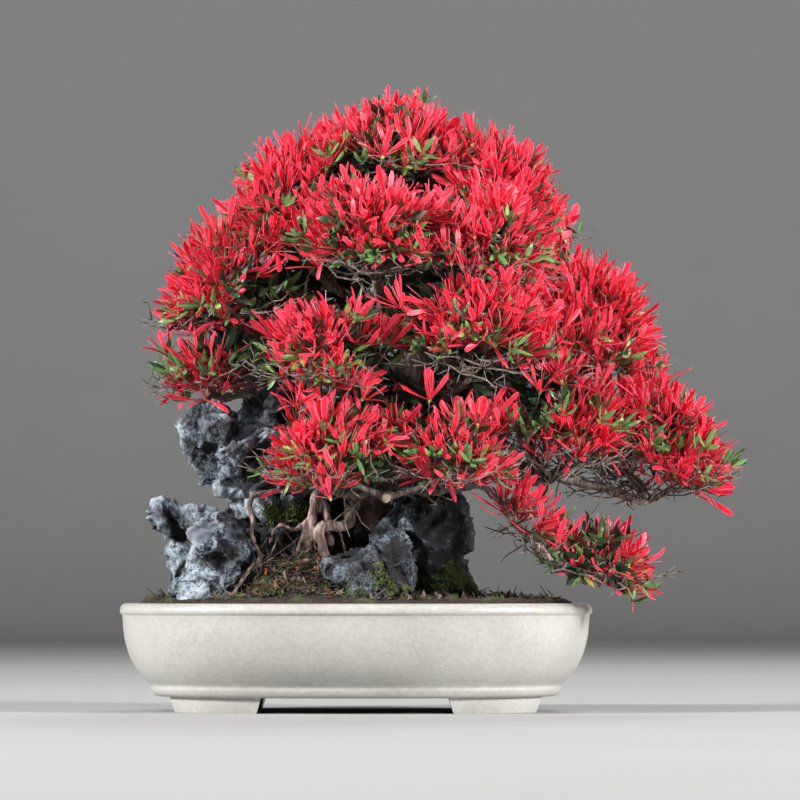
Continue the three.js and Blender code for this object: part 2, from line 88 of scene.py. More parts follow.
# Ends edit mode with every face turned outwards
def closeOutward():
    bpy.ops.mesh.select_all(action="SELECT")
    bpy.ops.mesh.normals_make_consistent(inside=False)
    closeEdit()


def extrudeBy(x, y, z):
    bpy.ops.mesh.extrude_region_move(TRANSFORM_OT_translate={"value": (x, y, z)})


def scaleAbout(centre, x, y, z):
    bpy.ops.transform.resize(value=(x, y, z), center_override=centre)


def applyModifiers(piece):
    pickOnly(piece)
    for modifier in list(piece.modifiers):
        bpy.ops.object.modifier_apply(modifier=modifier.name)


def applyPlace(piece):
    pickOnly(piece)
    bpy.ops.object.transform_apply(location=True, rotation=True, scale=True)


def removePiece(piece):
    bpy.data.objects.remove(piece)


def shadeSmooth(piece):
    pickOnly(piece)
    bpy.ops.object.shade_smooth()


def shadeByAngle(piece, degrees):
    pickOnly(piece)
    bpy.ops.object.shade_smooth_by_angle(angle=math.radians(degrees))


def pointsOf(piece):
    found = np.empty(len(piece.data.vertices) * 3)
    piece.data.vertices.foreach_get("co", found)
    return found.reshape(-1, 3)


def normalsOf(piece):
    found = np.empty(len(piece.data.vertices) * 3)
    piece.data.vertices.foreach_get("normal", found)
    return found.reshape(-1, 3)


def putPoints(piece, points):
    piece.data.vertices.foreach_set("co", np.asarray(points, float).ravel())
    piece.data.update()


def writeValues(piece, name, values):
    layer = piece.data.attributes.new(name, "FLOAT", "POINT")
    layer.data.foreach_set("value", np.asarray(values, np.float32).ravel())


def giveMaterials(piece, *materials):
    piece.data.materials.clear()
    for finish in materials:
        piece.data.materials.append(finish)


def handOver(piece, slotName, *nodes):
    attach(piece, "root")
    if nodes:
        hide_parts(*nodes)


def copyOfNode(node, name):
    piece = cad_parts[node].copy()
    piece.data = piece.data.copy()
    piece.parent = None
    for key in list(piece.keys()):
        del piece[key]
    piece.name = name
    piece.data.name = name
    bpy.context.scene.collection.objects.link(piece)
    openEdit(piece)
    bpy.ops.mesh.remove_doubles(threshold=0.00001)
    closeEdit()
    return piece


def seedShift(seed):
    return Vector((seed * 7.31, seed * 3.17, seed * 5.77))


# Noise values for many points at once, from about -1 to 1
def noiseAt(points, size, seed, octaves=1):
    shift = seedShift(seed)
    if octaves == 1:
        return np.array([noise.noise(Vector(p) / size + shift) for p in points])
    return np.array([noise.fractal(Vector(p) / size + shift, 1.0, 2.1, octaves) for p in points])


def ridgesAt(points, size, seed):
    shift = seedShift(seed)
    return np.array([1 - 2 * abs(noise.noise(Vector(p) / size + shift)) for p in points])


# How near each point is to the middle of a cave: 1 in its middle, 0 at its edge and beyond
def cavesAt(points, size, seed, reach):
    shift = seedShift(seed)
    near = np.array([noise.voronoi(Vector(p) / size + shift)[0][0] for p in points])
    return np.clip(1 - near / reach, 0, 1)


# Pits side by side with thin walls between them: 0 on a wall, 1 well inside a pit
def pitsAt(points, size, seed, wall):
    shift = seedShift(seed)
    found = np.array([noise.voronoi(Vector(p) / size + shift)[0][:2] for p in points])
    return np.clip((found[:, 1] - found[:, 0]) / wall, 0, 1)


# Flat facets that each tilt another way, in the unit of the points, with ledges between them
def facetsAt(points, size, seed):
    shift = seedShift(seed)
    ledge = 0.16  # how wide the steps between the facets are, as a share of their size
    found = []
    for p in points:
        place = Vector(p) / size + shift
        far, near = noise.voronoi(place)
        tilt = noise.cell_vector(near[0] * 9.7) - Vector((0.5, 0.5, 0.5))
        fade = min(1.0, (far[1] - far[0]) / ledge)
        found.append(2 * (place - near[0]).dot(tilt) * size * fade)
    return np.array(found)


# Shader nodes and groups
def feed(tree, socket, value):
    if isinstance(value, bpy.types.NodeSocket):
        tree.links.new(value, socket)
    else:
        socket.default_value = value


def addNode(tree, kind, inputs=None, **settings):
    made = tree.nodes.new(kind)
    for key, value in settings.items():
        setattr(made, key, value)
    for socket, value in (inputs or {}).items():
        feed(tree, made.inputs[socket], value)
    return made


def addRamp(tree, factor, stops):
    ramp = addNode(tree, "ShaderNodeValToRGB", {"Fac": factor})
    marks = ramp.color_ramp.elements
    while len(marks) < len(stops):
        marks.new(0.5)
    for mark, (place, colour) in zip(marks, stops):
        mark.position = place
        mark.color = (*colour, 1)
    return ramp.outputs["Color"]


def mixColours(tree, factor, first, second):
    mix = addNode(tree, "ShaderNodeMix", {0: factor}, data_type="RGBA", clamp_factor=True)
    for socket, colour in ((6, first), (7, second)):
        feed(tree, mix.inputs[socket], (*colour, 1) if isinstance(colour, tuple) else colour)
    return mix.outputs[2]


def addMath(tree, operation, *values):
    made = addNode(tree, "ShaderNodeMath", operation=operation)
    for socket, value in zip(made.inputs, values):
        feed(tree, socket, value)
    return made.outputs[0]


def scaled(tree, value, factor):
    return addMath(tree, "MULTIPLY", value, factor)


# The first value times the factor, and the second added to it
def blended(tree, first, factor, second):
    return addMath(tree, "MULTIPLY_ADD", first, factor, second)


def mixValues(tree, factor, first, second):
    return addNode(tree, "ShaderNodeMix", {0: factor, 2: first, 3: second}, data_type="FLOAT").outputs[0]


def spread(tree, value, low, high, toLow=0.0, toHigh=1.0):
    made = addNode(tree, "ShaderNodeMapRange", clamp=True)
    for socket, given in zip(made.inputs, (value, low, high, toLow, toHigh)):
        feed(tree, socket, given)
    return made.outputs[0]


# A node group that takes a vector and the given inputs, and puts out a mask
def startGroup(name, inputs):
    group = bpy.data.node_groups.new(name, "ShaderNodeTree")
    group.interface.new_socket("Vector", in_out="INPUT", socket_type="NodeSocketVector")
    for label, value in inputs.items():
        kind = "NodeSocketVector" if isinstance(value, tuple) else "NodeSocketFloat"
        group.interface.new_socket(label, in_out="INPUT", socket_type=kind).default_value = value
    group.interface.new_socket("Mask", in_out="OUTPUT", socket_type="NodeSocketFloat")
    given = group.nodes.new("NodeGroupInput")
    result = group.nodes.new("NodeGroupOutput")
    return group, given.outputs, result.inputs["Mask"]


# Group: soft patches of a given size, from 0 to 1
def buildPatches():
    group, given, mask = startGroup("patches", {"Scale": 50.0, "Detail": 3.0, "Low": 0.4, "High": 0.6})
    size = {"Vector": given["Vector"], "Scale": given["Scale"], "Detail": given["Detail"]}
    cloudy = addNode(group, "ShaderNodeTexNoise", size)
    group.links.new(spread(group, cloudy.outputs[0], given["Low"], given["High"]), mask)
    return group


# Group: fine grain drawn out along one axis, from 0 to 1
def buildGrain():
    group, given, mask = startGroup("grain", {"Scale": 200.0, "Stretch": (1.0, 1.0, 0.2)})
    stretched = {0: given["Vector"], 1: given["Stretch"]}
    drawn = addNode(group, "ShaderNodeVectorMath", stretched, operation="MULTIPLY")
    size = {"Vector": drawn.outputs[0], "Scale": given["Scale"], "Detail": 4.0, "Roughness": 0.65}
    fibres = addNode(group, "ShaderNodeTexNoise", size)
    group.links.new(spread(group, fibres.outputs[0], 0.3, 0.7), mask)
    return group


# Group: crusty walls round small pits, 0 in a pit and 1 on a wall
def buildCrust():
    group, given, mask = startGroup("crust", {"Scale": 200.0})
    vector, scale = given["Vector"], given["Scale"]
    swirl = addNode(group, "ShaderNodeTexNoise", {"Vector": vector, "Scale": scale, "Detail": 2.0})
    pull = {0: swirl.outputs[1], 1: (0.0016, 0.0016, 0.0016), 2: vector}
    pulled = addNode(group, "ShaderNodeVectorMath", pull, operation="MULTIPLY_ADD")
    cells = addNode(group, "ShaderNodeTexVoronoi", {"Vector": pulled.outputs[0], "Scale": scale})
    crumbs = {"Vector": vector, "Scale": 900.0, "Detail": 4.0, "Roughness": 0.7}
    fine = addNode(group, "ShaderNodeTexNoise", crumbs)
    walls = scaled(group, spread(group, cells.outputs["Distance"], 0.12, 0.58), 0.65)
    group.links.new(blended(group, spread(group, fine.outputs[0], 0.3, 0.7), 0.35, walls), mask)
    return group


patchesGroup = buildPatches()
grainGroup = buildGrain()
crustGroup = buildCrust()


def addGroup(tree, group, vector, values):
    made = addNode(tree, "ShaderNodeGroup", node_tree=group)
    tree.links.new(vector, made.inputs["Vector"])
    for label, value in values.items():
        made.inputs[label].default_value = value
    return made.outputs[0]


def patches(tree, vector, scale, low, high, detail=3.0):
    values = {"Scale": scale, "Detail": detail, "Low": low, "High": high}
    return addGroup(tree, patchesGroup, vector, values)


def grain(tree, vector, scale, stretch):
    return addGroup(tree, grainGroup, vector, {"Scale": scale, "Stretch": stretch})


def crust(tree, vector, scale):
    return addGroup(tree, crustGroup, vector, {"Scale": scale})


def startMaterial(name):
    finish = bpy.data.materials.new(name)
    finish.use_nodes = True
    tree = finish.node_tree
    shader = tree.nodes["Principled BSDF"]
    place = tree.nodes.new("ShaderNodeTexCoord").outputs["Object"]
    return finish, tree, shader, place


def valueOf(tree, name):
    return addNode(tree, "ShaderNodeAttribute", attribute_name=name).outputs["Fac"]


def addBump(tree, shader, height, strength, distance):
    bump = addNode(tree, "ShaderNodeBump", {"Height": height, "Strength": strength, "Distance": distance})
    tree.links.new(bump.outputs[0], shader.inputs["Normal"])


glazeLook = {
    "pale": (0.485, 0.476, 0.445),
    "deep": (0.365, 0.352, 0.318),
    "speck": (0.18, 0.155, 0.12),
}


def makeGlaze():
    finish, tree, shader, place = startMaterial("creamGlaze")
    broad = patches(tree, place, 16, 0.35, 0.68, 4)
    fine = patches(tree, place, 240, 0.34, 0.66, 4)
    mottled = blended(tree, fine, 0.45, scaled(tree, broad, 0.55))
    colour = mixColours(tree, mottled, glazeLook["deep"], glazeLook["pale"])
    specks = patches(tree, place, 700, 0.66, 0.76, 1)
    colour = mixColours(tree, scaled(tree, specks, 0.4), colour, glazeLook["speck"])
    tree.links.new(colour, shader.inputs["Base Color"])
    tree.links.new(spread(tree, fine, 0, 1, 0.3, 0.42), shader.inputs["Roughness"])
    shader.inputs["Coat Weight"].default_value = 0.25
    shader.inputs["Coat Roughness"].default_value = 0.25
    addBump(tree, shader, fine, 0.10, 0.0006)
    return finish


# Colours of the crusted stone, and the scales of its pits and patches. "pit" and "dark" are painted shade
# in its pits, hollows and deep parts, "pale" is partly the crust's own pale tone and partly a painted
# highlight on its walls and high parts, and "facet" and "facetPale" paint the smooth faces darker where
# they lie deep and paler where they lie high
stoneLook = {
    "pit": (0.003, 0.003, 0.004),
    "dark": (0.011, 0.012, 0.015),
    "body": (0.092, 0.110, 0.136),
    "pale": (0.50, 0.58, 0.64),
    "moss": (0.024, 0.032, 0.009),
    "freshMoss": (0.078, 0.104, 0.022),
    "facet": (0.08, 0.087, 0.112),
    "facetPale": (0.145, 0.153, 0.19),
    "hollows": 105,
    "pits": 250,
    "finePits": 560,
    "plainPatches": 36,
    "broadPatches": 60,
    "mossPatches": 420,
}


def makeStoneCrust():
    finish, tree, shader, place = startMaterial("stoneCrust")
    look = stoneLook
    height = valueOf(tree, "height")
    crusty = valueOf(tree, "crusty")
    coarse = scaled(tree, crust(tree, place, look["pits"]), 0.6)
    crumbs = blended(tree, crust(tree, place, look["finePits"]), 0.4, coarse)
    # larger hollows, sunk in the bump and painted darker as shade
    hollows = addMath(tree, "ADD", crust(tree, place, look["hollows"]), 0.25)
    crumbs = addMath(tree, "MINIMUM", crumbs, hollows)
    plainer = blended(tree, crumbs, 0.5, 0.25)
    crumbs = mixValues(tree, patches(tree, place, look["plainPatches"], 0.42, 0.58), plainer, crumbs)
    broad = patches(tree, place, look["broadPatches"], 0.3, 0.7, 5)
    crumbs = mixValues(tree, crusty, 0.5, crumbs)
    level = addMath(tree, "ADD", crumbs, blended(tree, broad, 0.36, height))
    level = addMath(tree, "SUBTRACT", level, 0.64)
    # painted shade and highlight: pits, hollows and deep parts run to near black, the crust's walls and
    # high parts to pale, partly its own tone and partly painted highlight
    stops = [(0.14, look["pit"]), (0.38, look["dark"]), (0.60, look["body"]), (1.0, look["pale"])]
    rough = addRamp(tree, level, stops)
    # smooth faces: painted darker as shade where they lie deep, paler where they lie high
    stops = [(0.35, look["pit"]), (0.6, look["facet"]), (0.95, look["facetPale"])]
    smooth = addRamp(tree, blended(tree, broad, 0.3, height), stops)
    colour = mixColours(tree, crusty, smooth, rough)
    cushion = patches(tree, place, look["mossPatches"], 0.35, 0.65, 4)
    green = mixColours(tree, cushion, look["moss"], look["freshMoss"])
    edge = blended(tree, cushion, 0.5, valueOf(tree, "moss"))
    colour = mixColours(tree, spread(tree, edge, 0.55, 0.75), colour, green)
    tree.links.new(colour, shader.inputs["Base Color"])
    tree.links.new(spread(tree, crumbs, 0, 1, 0.85, 0.5), shader.inputs["Roughness"])
    addBump(tree, shader, crumbs, 1.0, 0.003)
    return finish


soilLook = {
    "dark": (0.009, 0.006, 0.004),
    "brown": (0.058, 0.037, 0.024),
    "moss": (0.040, 0.052, 0.012),
    "fresh": (0.10, 0.125, 0.026),
}


def makeSoilGround():
    finish, tree, shader, place = startMaterial("mossySoil")
    crumbs = patches(tree, place, 330, 0.35, 0.68, 5)
    colour = mixColours(tree, crumbs, soilLook["dark"], soilLook["brown"])
    green = mixColours(tree, patches(tree, place, 420, 0.4, 0.62, 4), soilLook["moss"], soilLook["fresh"])
    colour = mixColours(tree, valueOf(tree, "moss"), colour, green)
    tree.links.new(colour, shader.inputs["Base Color"])
    shader.inputs["Roughness"].default_value = 0.95
    addBump(tree, shader, crumbs, 0.8, 0.002)
    return finish


barkLook = {
    "dark": (0.035, 0.024, 0.018),
    "body": (0.16, 0.128, 0.104),
    "pale": (0.40, 0.35, 0.30),
    "rootDark": (0.055, 0.032, 0.026),
    "rootBody": (0.19, 0.120, 0.101),
    "rootPale": (0.54, 0.41, 0.365),
    "cut": (0.42, 0.32, 0.23),
    "twigPale": (0.29, 0.245, 0.20),
}


def makeBark(name, rooted):
    finish, tree, shader, place = startMaterial(name)
    fibres = grain(tree, place, 260, (1, 1, 0.25))
    patchy = patches(tree, place, 70, 0.35, 0.65, 4)
    pale = barkLook["pale"] if rooted else barkLook["twigPale"]
    stops = [(0.1, barkLook["dark"]), (0.5, barkLook["body"]), (0.95, pale)]
    colour = addRamp(tree, fibres, stops)
    colour = mixColours(tree, scaled(tree, patchy, 0.55), colour, pale)
    if rooted:
        stained = blended(tree, patches(tree, place, 28, 0.35, 0.65, 2), 0.7, fibres)
        stops = [(0.25, barkLook["rootDark"]), (0.75, barkLook["rootBody"]), (1.0, barkLook["rootPale"])]
        skin = addRamp(tree, scaled(tree, stained, 0.72), stops)
        colour = mixColours(tree, valueOf(tree, "root"), colour, skin)
        colour = mixColours(tree, valueOf(tree, "cut"), colour, barkLook["cut"])
    tree.links.new(colour, shader.inputs["Base Color"])
    tree.links.new(spread(tree, fibres, 0, 1, 0.85, 0.6), shader.inputs["Roughness"])
    addBump(tree, shader, blended(tree, patchy, 0.6, fibres), 0.8, 0.0016)
    return finish


leafLook = {
    "shade": (0.008, 0.020, 0.008),
    "deep": (0.036, 0.104, 0.027),
    "fresh": (0.18, 0.37, 0.078),
    "rib": (0.24, 0.33, 0.17),
    "yellow": (0.42, 0.30, 0.05),
}


def makeLeafGreen():
    finish, tree, shader, place = startMaterial("leafGreen")
    look = leafLook
    tint = valueOf(tree, "tint")
    # low tints run to the shade colour, painted shade for the leaves deep inside the tree
    stops = [(0.0, look["shade"]), (0.3, look["deep"]), (0.94, look["fresh"]), (1.0, look["yellow"])]
    colour = addRamp(tree, tint, stops)
    rib = spread(tree, addMath(tree, "ABSOLUTE", valueOf(tree, "side")), 0.28, 0.02)
    rib = scaled(tree, rib, spread(tree, tint, 0.1, 0.35, 0, 0.5))
    colour = mixColours(tree, rib, colour, look["rib"])
    veins = patches(tree, place, 520, 0.35, 0.65, 3)
    colour = mixColours(tree, scaled(tree, veins, 0.25), colour, look["shade"])
    tree.links.new(colour, shader.inputs["Base Color"])
    tree.links.new(spread(tree, veins, 0, 1, 0.34, 0.5), shader.inputs["Roughness"])
    shader.inputs["Sheen Weight"].default_value = 0.05
    shader.inputs["Sheen Tint"].default_value = (0.7, 0.85, 1.0, 1)
    addBump(tree, shader, veins, 0.25, 0.0005)
    return finish


petalLook = {
    # darker at the base of each petal: partly the flower's own deeper red, partly painted shade in its
    # throat
    "throat": (0.34, 0.002, 0.008),
    "red": (0.74, 0.005, 0.024),
    "coral": (0.92, 0.016, 0.050),
    # pink: painted highlight on the petals' edges and streaks, and the stamens' own blush
    "pink": (1.0, 0.18, 0.28),
}


def makePetalRed():
    finish, tree, shader, place = startMaterial("petalRed")
    along = valueOf(tree, "along")
    side = addMath(tree, "ABSOLUTE", valueOf(tree, "side"))
    tint = valueOf(tree, "tint")
    base = mixColours(tree, tint, petalLook["red"], petalLook["coral"])
    # towards the base each petal runs to the darker red, partly its own colour and partly painted shade in
    # the throat
    base = mixColours(tree, spread(tree, along, 0.0, 0.6), petalLook["throat"], base)
    # painted highlight: pink along the petals' edges towards their tips, more on paler petals
    edge = scaled(tree, spread(tree, side, 0.45, 1.0), spread(tree, along, 0.2, 0.9, 0.1, 0.9))
    edge = scaled(tree, edge, spread(tree, tint, 0.1, 1.0, 0.25, 1.0))
    base = mixColours(tree, edge, base, petalLook["pink"])
    # pink streaks are painted highlight; the same noise also sets roughness and bump
    highlightStreaks = patches(tree, place, 480, 0.4, 0.7, 3)
    base = mixColours(tree, scaled(tree, highlightStreaks, 0.24), base, petalLook["pink"])
    tree.links.new(base, shader.inputs["Base Color"])
    tree.links.new(spread(tree, highlightStreaks, 0, 1, 0.36, 0.5), shader.inputs["Roughness"])
    shader.inputs["Specular IOR Level"].default_value = 0.22
    shader.inputs["Subsurface Weight"].default_value = 0.4
    shader.inputs["Subsurface Radius"].default_value = (1.0, 0.25, 0.3)
    shader.inputs["Subsurface Scale"].default_value = 0.003
    addBump(tree, shader, highlightStreaks, 0.2, 0.0004)
    return finish


stamenLook = {
    "foot": (0.60, 0.015, 0.03),
    "middle": (0.95, 0.10, 0.15),
    "top": (0.95, 0.26, 0.32),
    "anther": (0.10, 0.012, 0.015),
}


def makeStamenPink():
    finish, tree, shader, place = startMaterial("stamenPink")
    look = stamenLook
    blush = patches(tree, place, 300, 0.4, 0.6, 2)
    stops = [(0.0, look["foot"]), (0.6, look["middle"]), (0.93, look["top"]), (0.97, look["anther"])]
    colour = addRamp(tree, valueOf(tree, "along"), stops)
    colour = mixColours(tree, scaled(tree, blush, 0.2), colour, petalLook["pink"])
    tree.links.new(colour, shader.inputs["Base Color"])
    shader.inputs["Roughness"].default_value = 0.45
    return finish


calyxLook = {"green": (0.16, 0.22, 0.04), "pale": (0.42, 0.44, 0.12)}


def makeCalyxGreen():
    finish, tree, shader, place = startMaterial("calyxGreen")
    mottled = patches(tree, place, 380, 0.35, 0.65, 3)
    colour = mixColours(tree, mottled, calyxLook["green"], calyxLook["pale"])
    tree.links.new(colour, shader.inputs["Base Color"])
    shader.inputs["Roughness"].default_value = 0.5
    return finish


litterLook = {
    "dark": (0.018, 0.011, 0.007),
    "brown": (0.066, 0.043, 0.030),
    "dry": (0.28, 0.205, 0.16),
    "rust": (0.42, 0.15, 0.05),
    "worn": (0.03, 0.018, 0.010),
}


def makeLitterBrown():
    finish, tree, shader, place = startMaterial("leafLitter")
    look = litterLook
    stops = [(0.0, look["dark"]), (0.45, look["brown"]), (0.82, look["dry"]), (0.97, look["rust"])]
    colour = addRamp(tree, valueOf(tree, "tint"), stops)
    worn = patches(tree, place, 500, 0.35, 0.65, 3)
    colour = mixColours(tree, scaled(tree, worn, 0.4), colour, look["worn"])
    tree.links.new(colour, shader.inputs["Base Color"])
    shader.inputs["Roughness"].default_value = 0.8
    return finish


mossLook = {
    "dark": (0.035, 0.055, 0.010),
    "body": (0.09, 0.14, 0.022),
    "tip": (0.22, 0.27, 0.06),
    "worn": (0.02, 0.03, 0.006),
}


def makeMossGreen():
    finish, tree, shader, place = startMaterial("mossGreen")
    stops = [(0.0, mossLook["dark"]), (0.6, mossLook["body"]), (1.0, mossLook["tip"])]
    colour = addRamp(tree, valueOf(tree, "tint"), stops)
    worn = patches(tree, place, 600, 0.35, 0.65, 3)
    colour = mixColours(tree, scaled(tree, worn, 0.3), colour, mossLook["worn"])
    tree.links.new(colour, shader.inputs["Base Color"])
    shader.inputs["Roughness"].default_value = 0.9
    return finish


netLook = {"black": (0.010, 0.010, 0.010), "scuffed": (0.035, 0.034, 0.032)}


def makeNetBlack():
    finish, tree, shader, place = startMaterial("netBlack")
    scuffed = patches(tree, place, 300, 0.4, 0.7, 3)
    colour = mixColours(tree, scuffed, netLook["black"], netLook["scuffed"])
    tree.links.new(colour, shader.inputs["Base Color"])
    tree.links.new(spread(tree, scuffed, 0, 1, 0.45, 0.7), shader.inputs["Roughness"])
    addBump(tree, shader, scuffed, 0.3, 0.0003)
    return finish


creamGlaze = makeGlaze()
stoneCrust = makeStoneCrust()
mossySoil = makeSoilGround()
trunkBark = makeBark("trunkBark", True)
twigBark = makeBark("twigBark", False)
leafGreen = makeLeafGreen()
petalRed = makePetalRed()
stamenPink = makeStamenPink()
calyxGreen = makeCalyxGreen()
leafLitter = makeLitterBrown()
mossGreen = makeMossGreen()
netBlack = makeNetBlack()
print("materials made")


# The pot, in millimetres. A point of its profile is how far it stands outside the rim's half length, and
# its height
potShape = {
    "sides": 144,
    "squareness": 2.25,
    "halfLength": 224.5,
    "halfWidthLess": 54.5,
    "outside": [
        (-37, 14.5), (-33.2, 15.4), (-31.2, 17.6), (-29.6, 21.2), (-29.4, 22.6), (-29.7, 23.8),
        (-28.9, 25.4), (-26.6, 27.8), (-22.5, 31.5), (-18.2, 36.8), (-14.5, 42), (-11, 48.6),
        (-8, 56), (-5.7, 64), (-4, 72), (-3, 82), (-2.4, 90.4), (-2.0, 91.6), (-1.0, 92.4),
        (-0.2, 93.4), (0, 94.8), (-0.1, 96.6), (-0.9, 99.2), (-2.6, 101.2), (-5, 102.4),
    ],
    "inside": [
        (-10.5, 102.4), (-13, 101.4), (-14.4, 98.6), (-16, 84), (-18, 66), (-28, 44), (-40, 28), (-46, 24),
    ],
    # a foot between two ovals inside the rim, from its sole up: (height, size of its outline)
    "foot": {
        "outer": 40, "inner": 72, "outerArc": (0.36, 1.12), "innerArc": (0.36, 0.99), "steps": 14,
        "rises": [(0, 0.905), (0.8, 0.92), (14.2, 1.02), (17.5, 1.02)],
    },
    "drain": {"radius": 11, "at": 92, "middle": 18, "depth": 50},
    "smoothUnder": 50,  # degrees
}


# A point of the pot's oval, whose half width stays a fixed amount under its half length
def ovalPoint(reach, angle):
    power = 2 / potShape["squareness"]
    across = reach - potShape["halfWidthLess"]
    c, s = math.cos(angle), math.sin(angle)
    return math.copysign(abs(c) ** power, c) * reach, math.copysign(abs(s) ** power, s) * across


# The wall: rings of the profile, from the floor's underside out, up, over the rim and down inside
def makeBowl():
    half, less = potShape["halfLength"], potShape["halfWidthLess"]
    profile = [(half + out, z) for out, z in potShape["outside"] + potShape["inside"]]
    deselectAll()
    bpy.ops.mesh.primitive_circle_add(vertices=potShape["sides"], radius=1, fill_type="NGON")
    bowl = bpy.context.object
    bowl.name = "glazedPot"
    reach, z = profile[0]
    ring = [ovalPoint(reach, i * 2 * math.pi / potShape["sides"]) for i in range(potShape["sides"])]
    putPoints(bowl, [(x * mm, y * mm, z * mm) for x, y in ring])
    openEdit(bowl)
    for nextReach, nextZ in profile[1:]:
        extrudeBy(0, 0, (nextZ - z) * mm)
        scaleAbout((0, 0, nextZ * mm), nextReach / reach, (nextReach - less) / (reach - less), 1)
        reach, z = nextReach, nextZ
    closeOutward()
    return bowl


def makeFoot(end, side):
    shape = potShape["foot"]
    steps = shape["steps"] + 1
    deselectAll()
    bpy.ops.mesh.primitive_circle_add(vertices=2 * steps, radius=1, fill_type="NGON")
    foot = bpy.context.object
    outer, inner = potShape["halfLength"] - shape["outer"], potShape["halfLength"] - shape["inner"]
    outline = [ovalPoint(outer, angle) for angle in np.linspace(*shape["outerArc"], steps)]
    outline += reversed([ovalPoint(inner, angle) for angle in np.linspace(*shape["innerArc"], steps)])
    putPoints(foot, [(x * mm * end, y * mm * side, 0) for x, y in outline])
    x, y = np.mean(outline, axis=0) * mm * (end, side)
    openEdit(foot)
    rise, grown = shape["rises"][0]
    scaleAbout((x, y, rise), grown, grown, 1)
    for nextRise, nextGrown in shape["rises"][1:]:
        extrudeBy(0, 0, (nextRise - rise) * mm)
        ratio = nextGrown / grown
        scaleAbout((x, y, nextRise * mm), ratio, ratio, 1)
        rise, grown = nextRise, nextGrown
    closeOutward()
    return foot


def makePot():
    pot = makeBowl()
    tools = [(makeFoot(end, side), "UNION") for end in (-1, 1) for side in (-1, 1)]
    drain = potShape["drain"]
    for end in (-1, 1):
        deselectAll()
        bpy.ops.mesh.primitive_cylinder_add(
            vertices=40,
            radius=drain["radius"] * mm,
            depth=drain["depth"] * mm,
            location=(drain["at"] * mm * end, 0, drain["middle"] * mm),
        )
        tools.append((bpy.context.object, "DIFFERENCE"))
    for tool, operation in tools:
        change = pot.modifiers.new("change", "BOOLEAN")
        change.operation = operation
        change.solver = "EXACT"
        change.object = tool
        applyModifiers(pot)
        removePiece(tool)
    pot.location = potMiddle
    applyPlace(pot)
    shadeByAngle(pot, potShape["smoothUnder"])
    giveMaterials(pot, creamGlaze)
    handOver(pot, "pot_glaze", "pot")


makePot()
for side in ("left", "right"):
    giveMaterials(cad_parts["drain_net_" + side], netBlack)
print("pot made")


# The ground: level at the rim and banked up to the trunk's foot, in millimetres from the pot's middle
groundShape = {
    "level": 105.5,
    "banks": [
        {"x": -26, "y": 32, "rise": 84, "spreadX": 62, "spreadY": 50},
        {"x": -44, "y": -82, "rise": 36, "spreadX": 33, "spreadY": 22},
        {"x": -90, "y": -66, "rise": 9, "spreadX": 18, "spreadY": 20},
    ],
    "across": 132,
    "along": 102,
    "reach": 209.0,
    "squarer": 0.055,
    "edge": 0.93,
    "edgeDrop": 7.5,
    # height, size and seed of the lumps
    "lumps": [(2.4, 19, 1), (1.5, 7, 2), (0.9, 3.2, 3)],
}


# The height of the soil, banked up to the trunk and heaped round the feet of the roots
def bankHeight(x, y):
    height = groundShape["level"]
    for bank in groundShape["banks"]:
        away = ((x - bank["x"]) / bank["spreadX"]) ** 2 + ((y - bank["y"]) / bank["spreadY"]) ** 2
        height = height + bank["rise"] * np.exp(-away / 2)
    return height


def makeGround():
    deselectAll()
    bpy.ops.mesh.primitive_grid_add(
        x_subdivisions=groundShape["across"], y_subdivisions=groundShape["along"], size=2
    )
    ground = bpy.context.object
    ground.name = "mossyGround"
    square = pointsOf(ground)
    u, v = square[:, 0], square[:, 1]
    x = u * np.sqrt(1 - v * v / 2)
    y = v * np.sqrt(1 - u * u / 2)
    corner = np.sin(2 * np.arctan2(np.abs(y), np.abs(x))) * np.hypot(x, y)
    squarer = 1 + groundShape["squarer"] * corner
    x = x * squarer * groundShape["reach"]
    y = y * squarer * (groundShape["reach"] - potShape["halfWidthLess"])
    flat = np.c_[x, y, np.zeros(len(x))]
    inner = groundShape["edge"]
    edge = np.clip((np.maximum(np.abs(u), np.abs(v)) - inner) / (1 - inner), 0, 1)
    lumps = sum(height * noiseAt(flat, size, seed) for height, size, seed in groundShape["lumps"])
    patchy = noiseAt(flat, 30, 4, 3) - 0.24
    mossy = np.clip(patchy * 3.2, 0, 1) * (1 - edge)
    cushions = mossy * (1.6 + 2.2 * np.abs(noiseAt(flat, 5.5, 5)))
    z = bankHeight(x, y) + lumps + cushions - groundShape["edgeDrop"] * edge ** 2
    putPoints(ground, (np.c_[x, y, z]) * mm + potMiddle)
    writeValues(ground, "moss", mossy)
    openEdit(ground)
    bpy.ops.mesh.select_all(action="DESELECT")
    bpy.ops.mesh.select_non_manifold()
    # down along the pot's wall to a flat underside
    middle = (potMiddle[0], potMiddle[1], 0)
    for drop, wider, deeper in ((20, 0.985, 0.985), (30, 0.88, 0.84)):
        extrudeBy(0, 0, -drop * mm)
        scaleAbout(middle, wider, deeper, 1)
    bpy.ops.mesh.edge_face_add()
    closeOutward()
    giveMaterials(ground, mossySoil)
    shadeSmooth(ground)
    handOver(ground, "soil", "soil")


makeGround()
print("ground made")
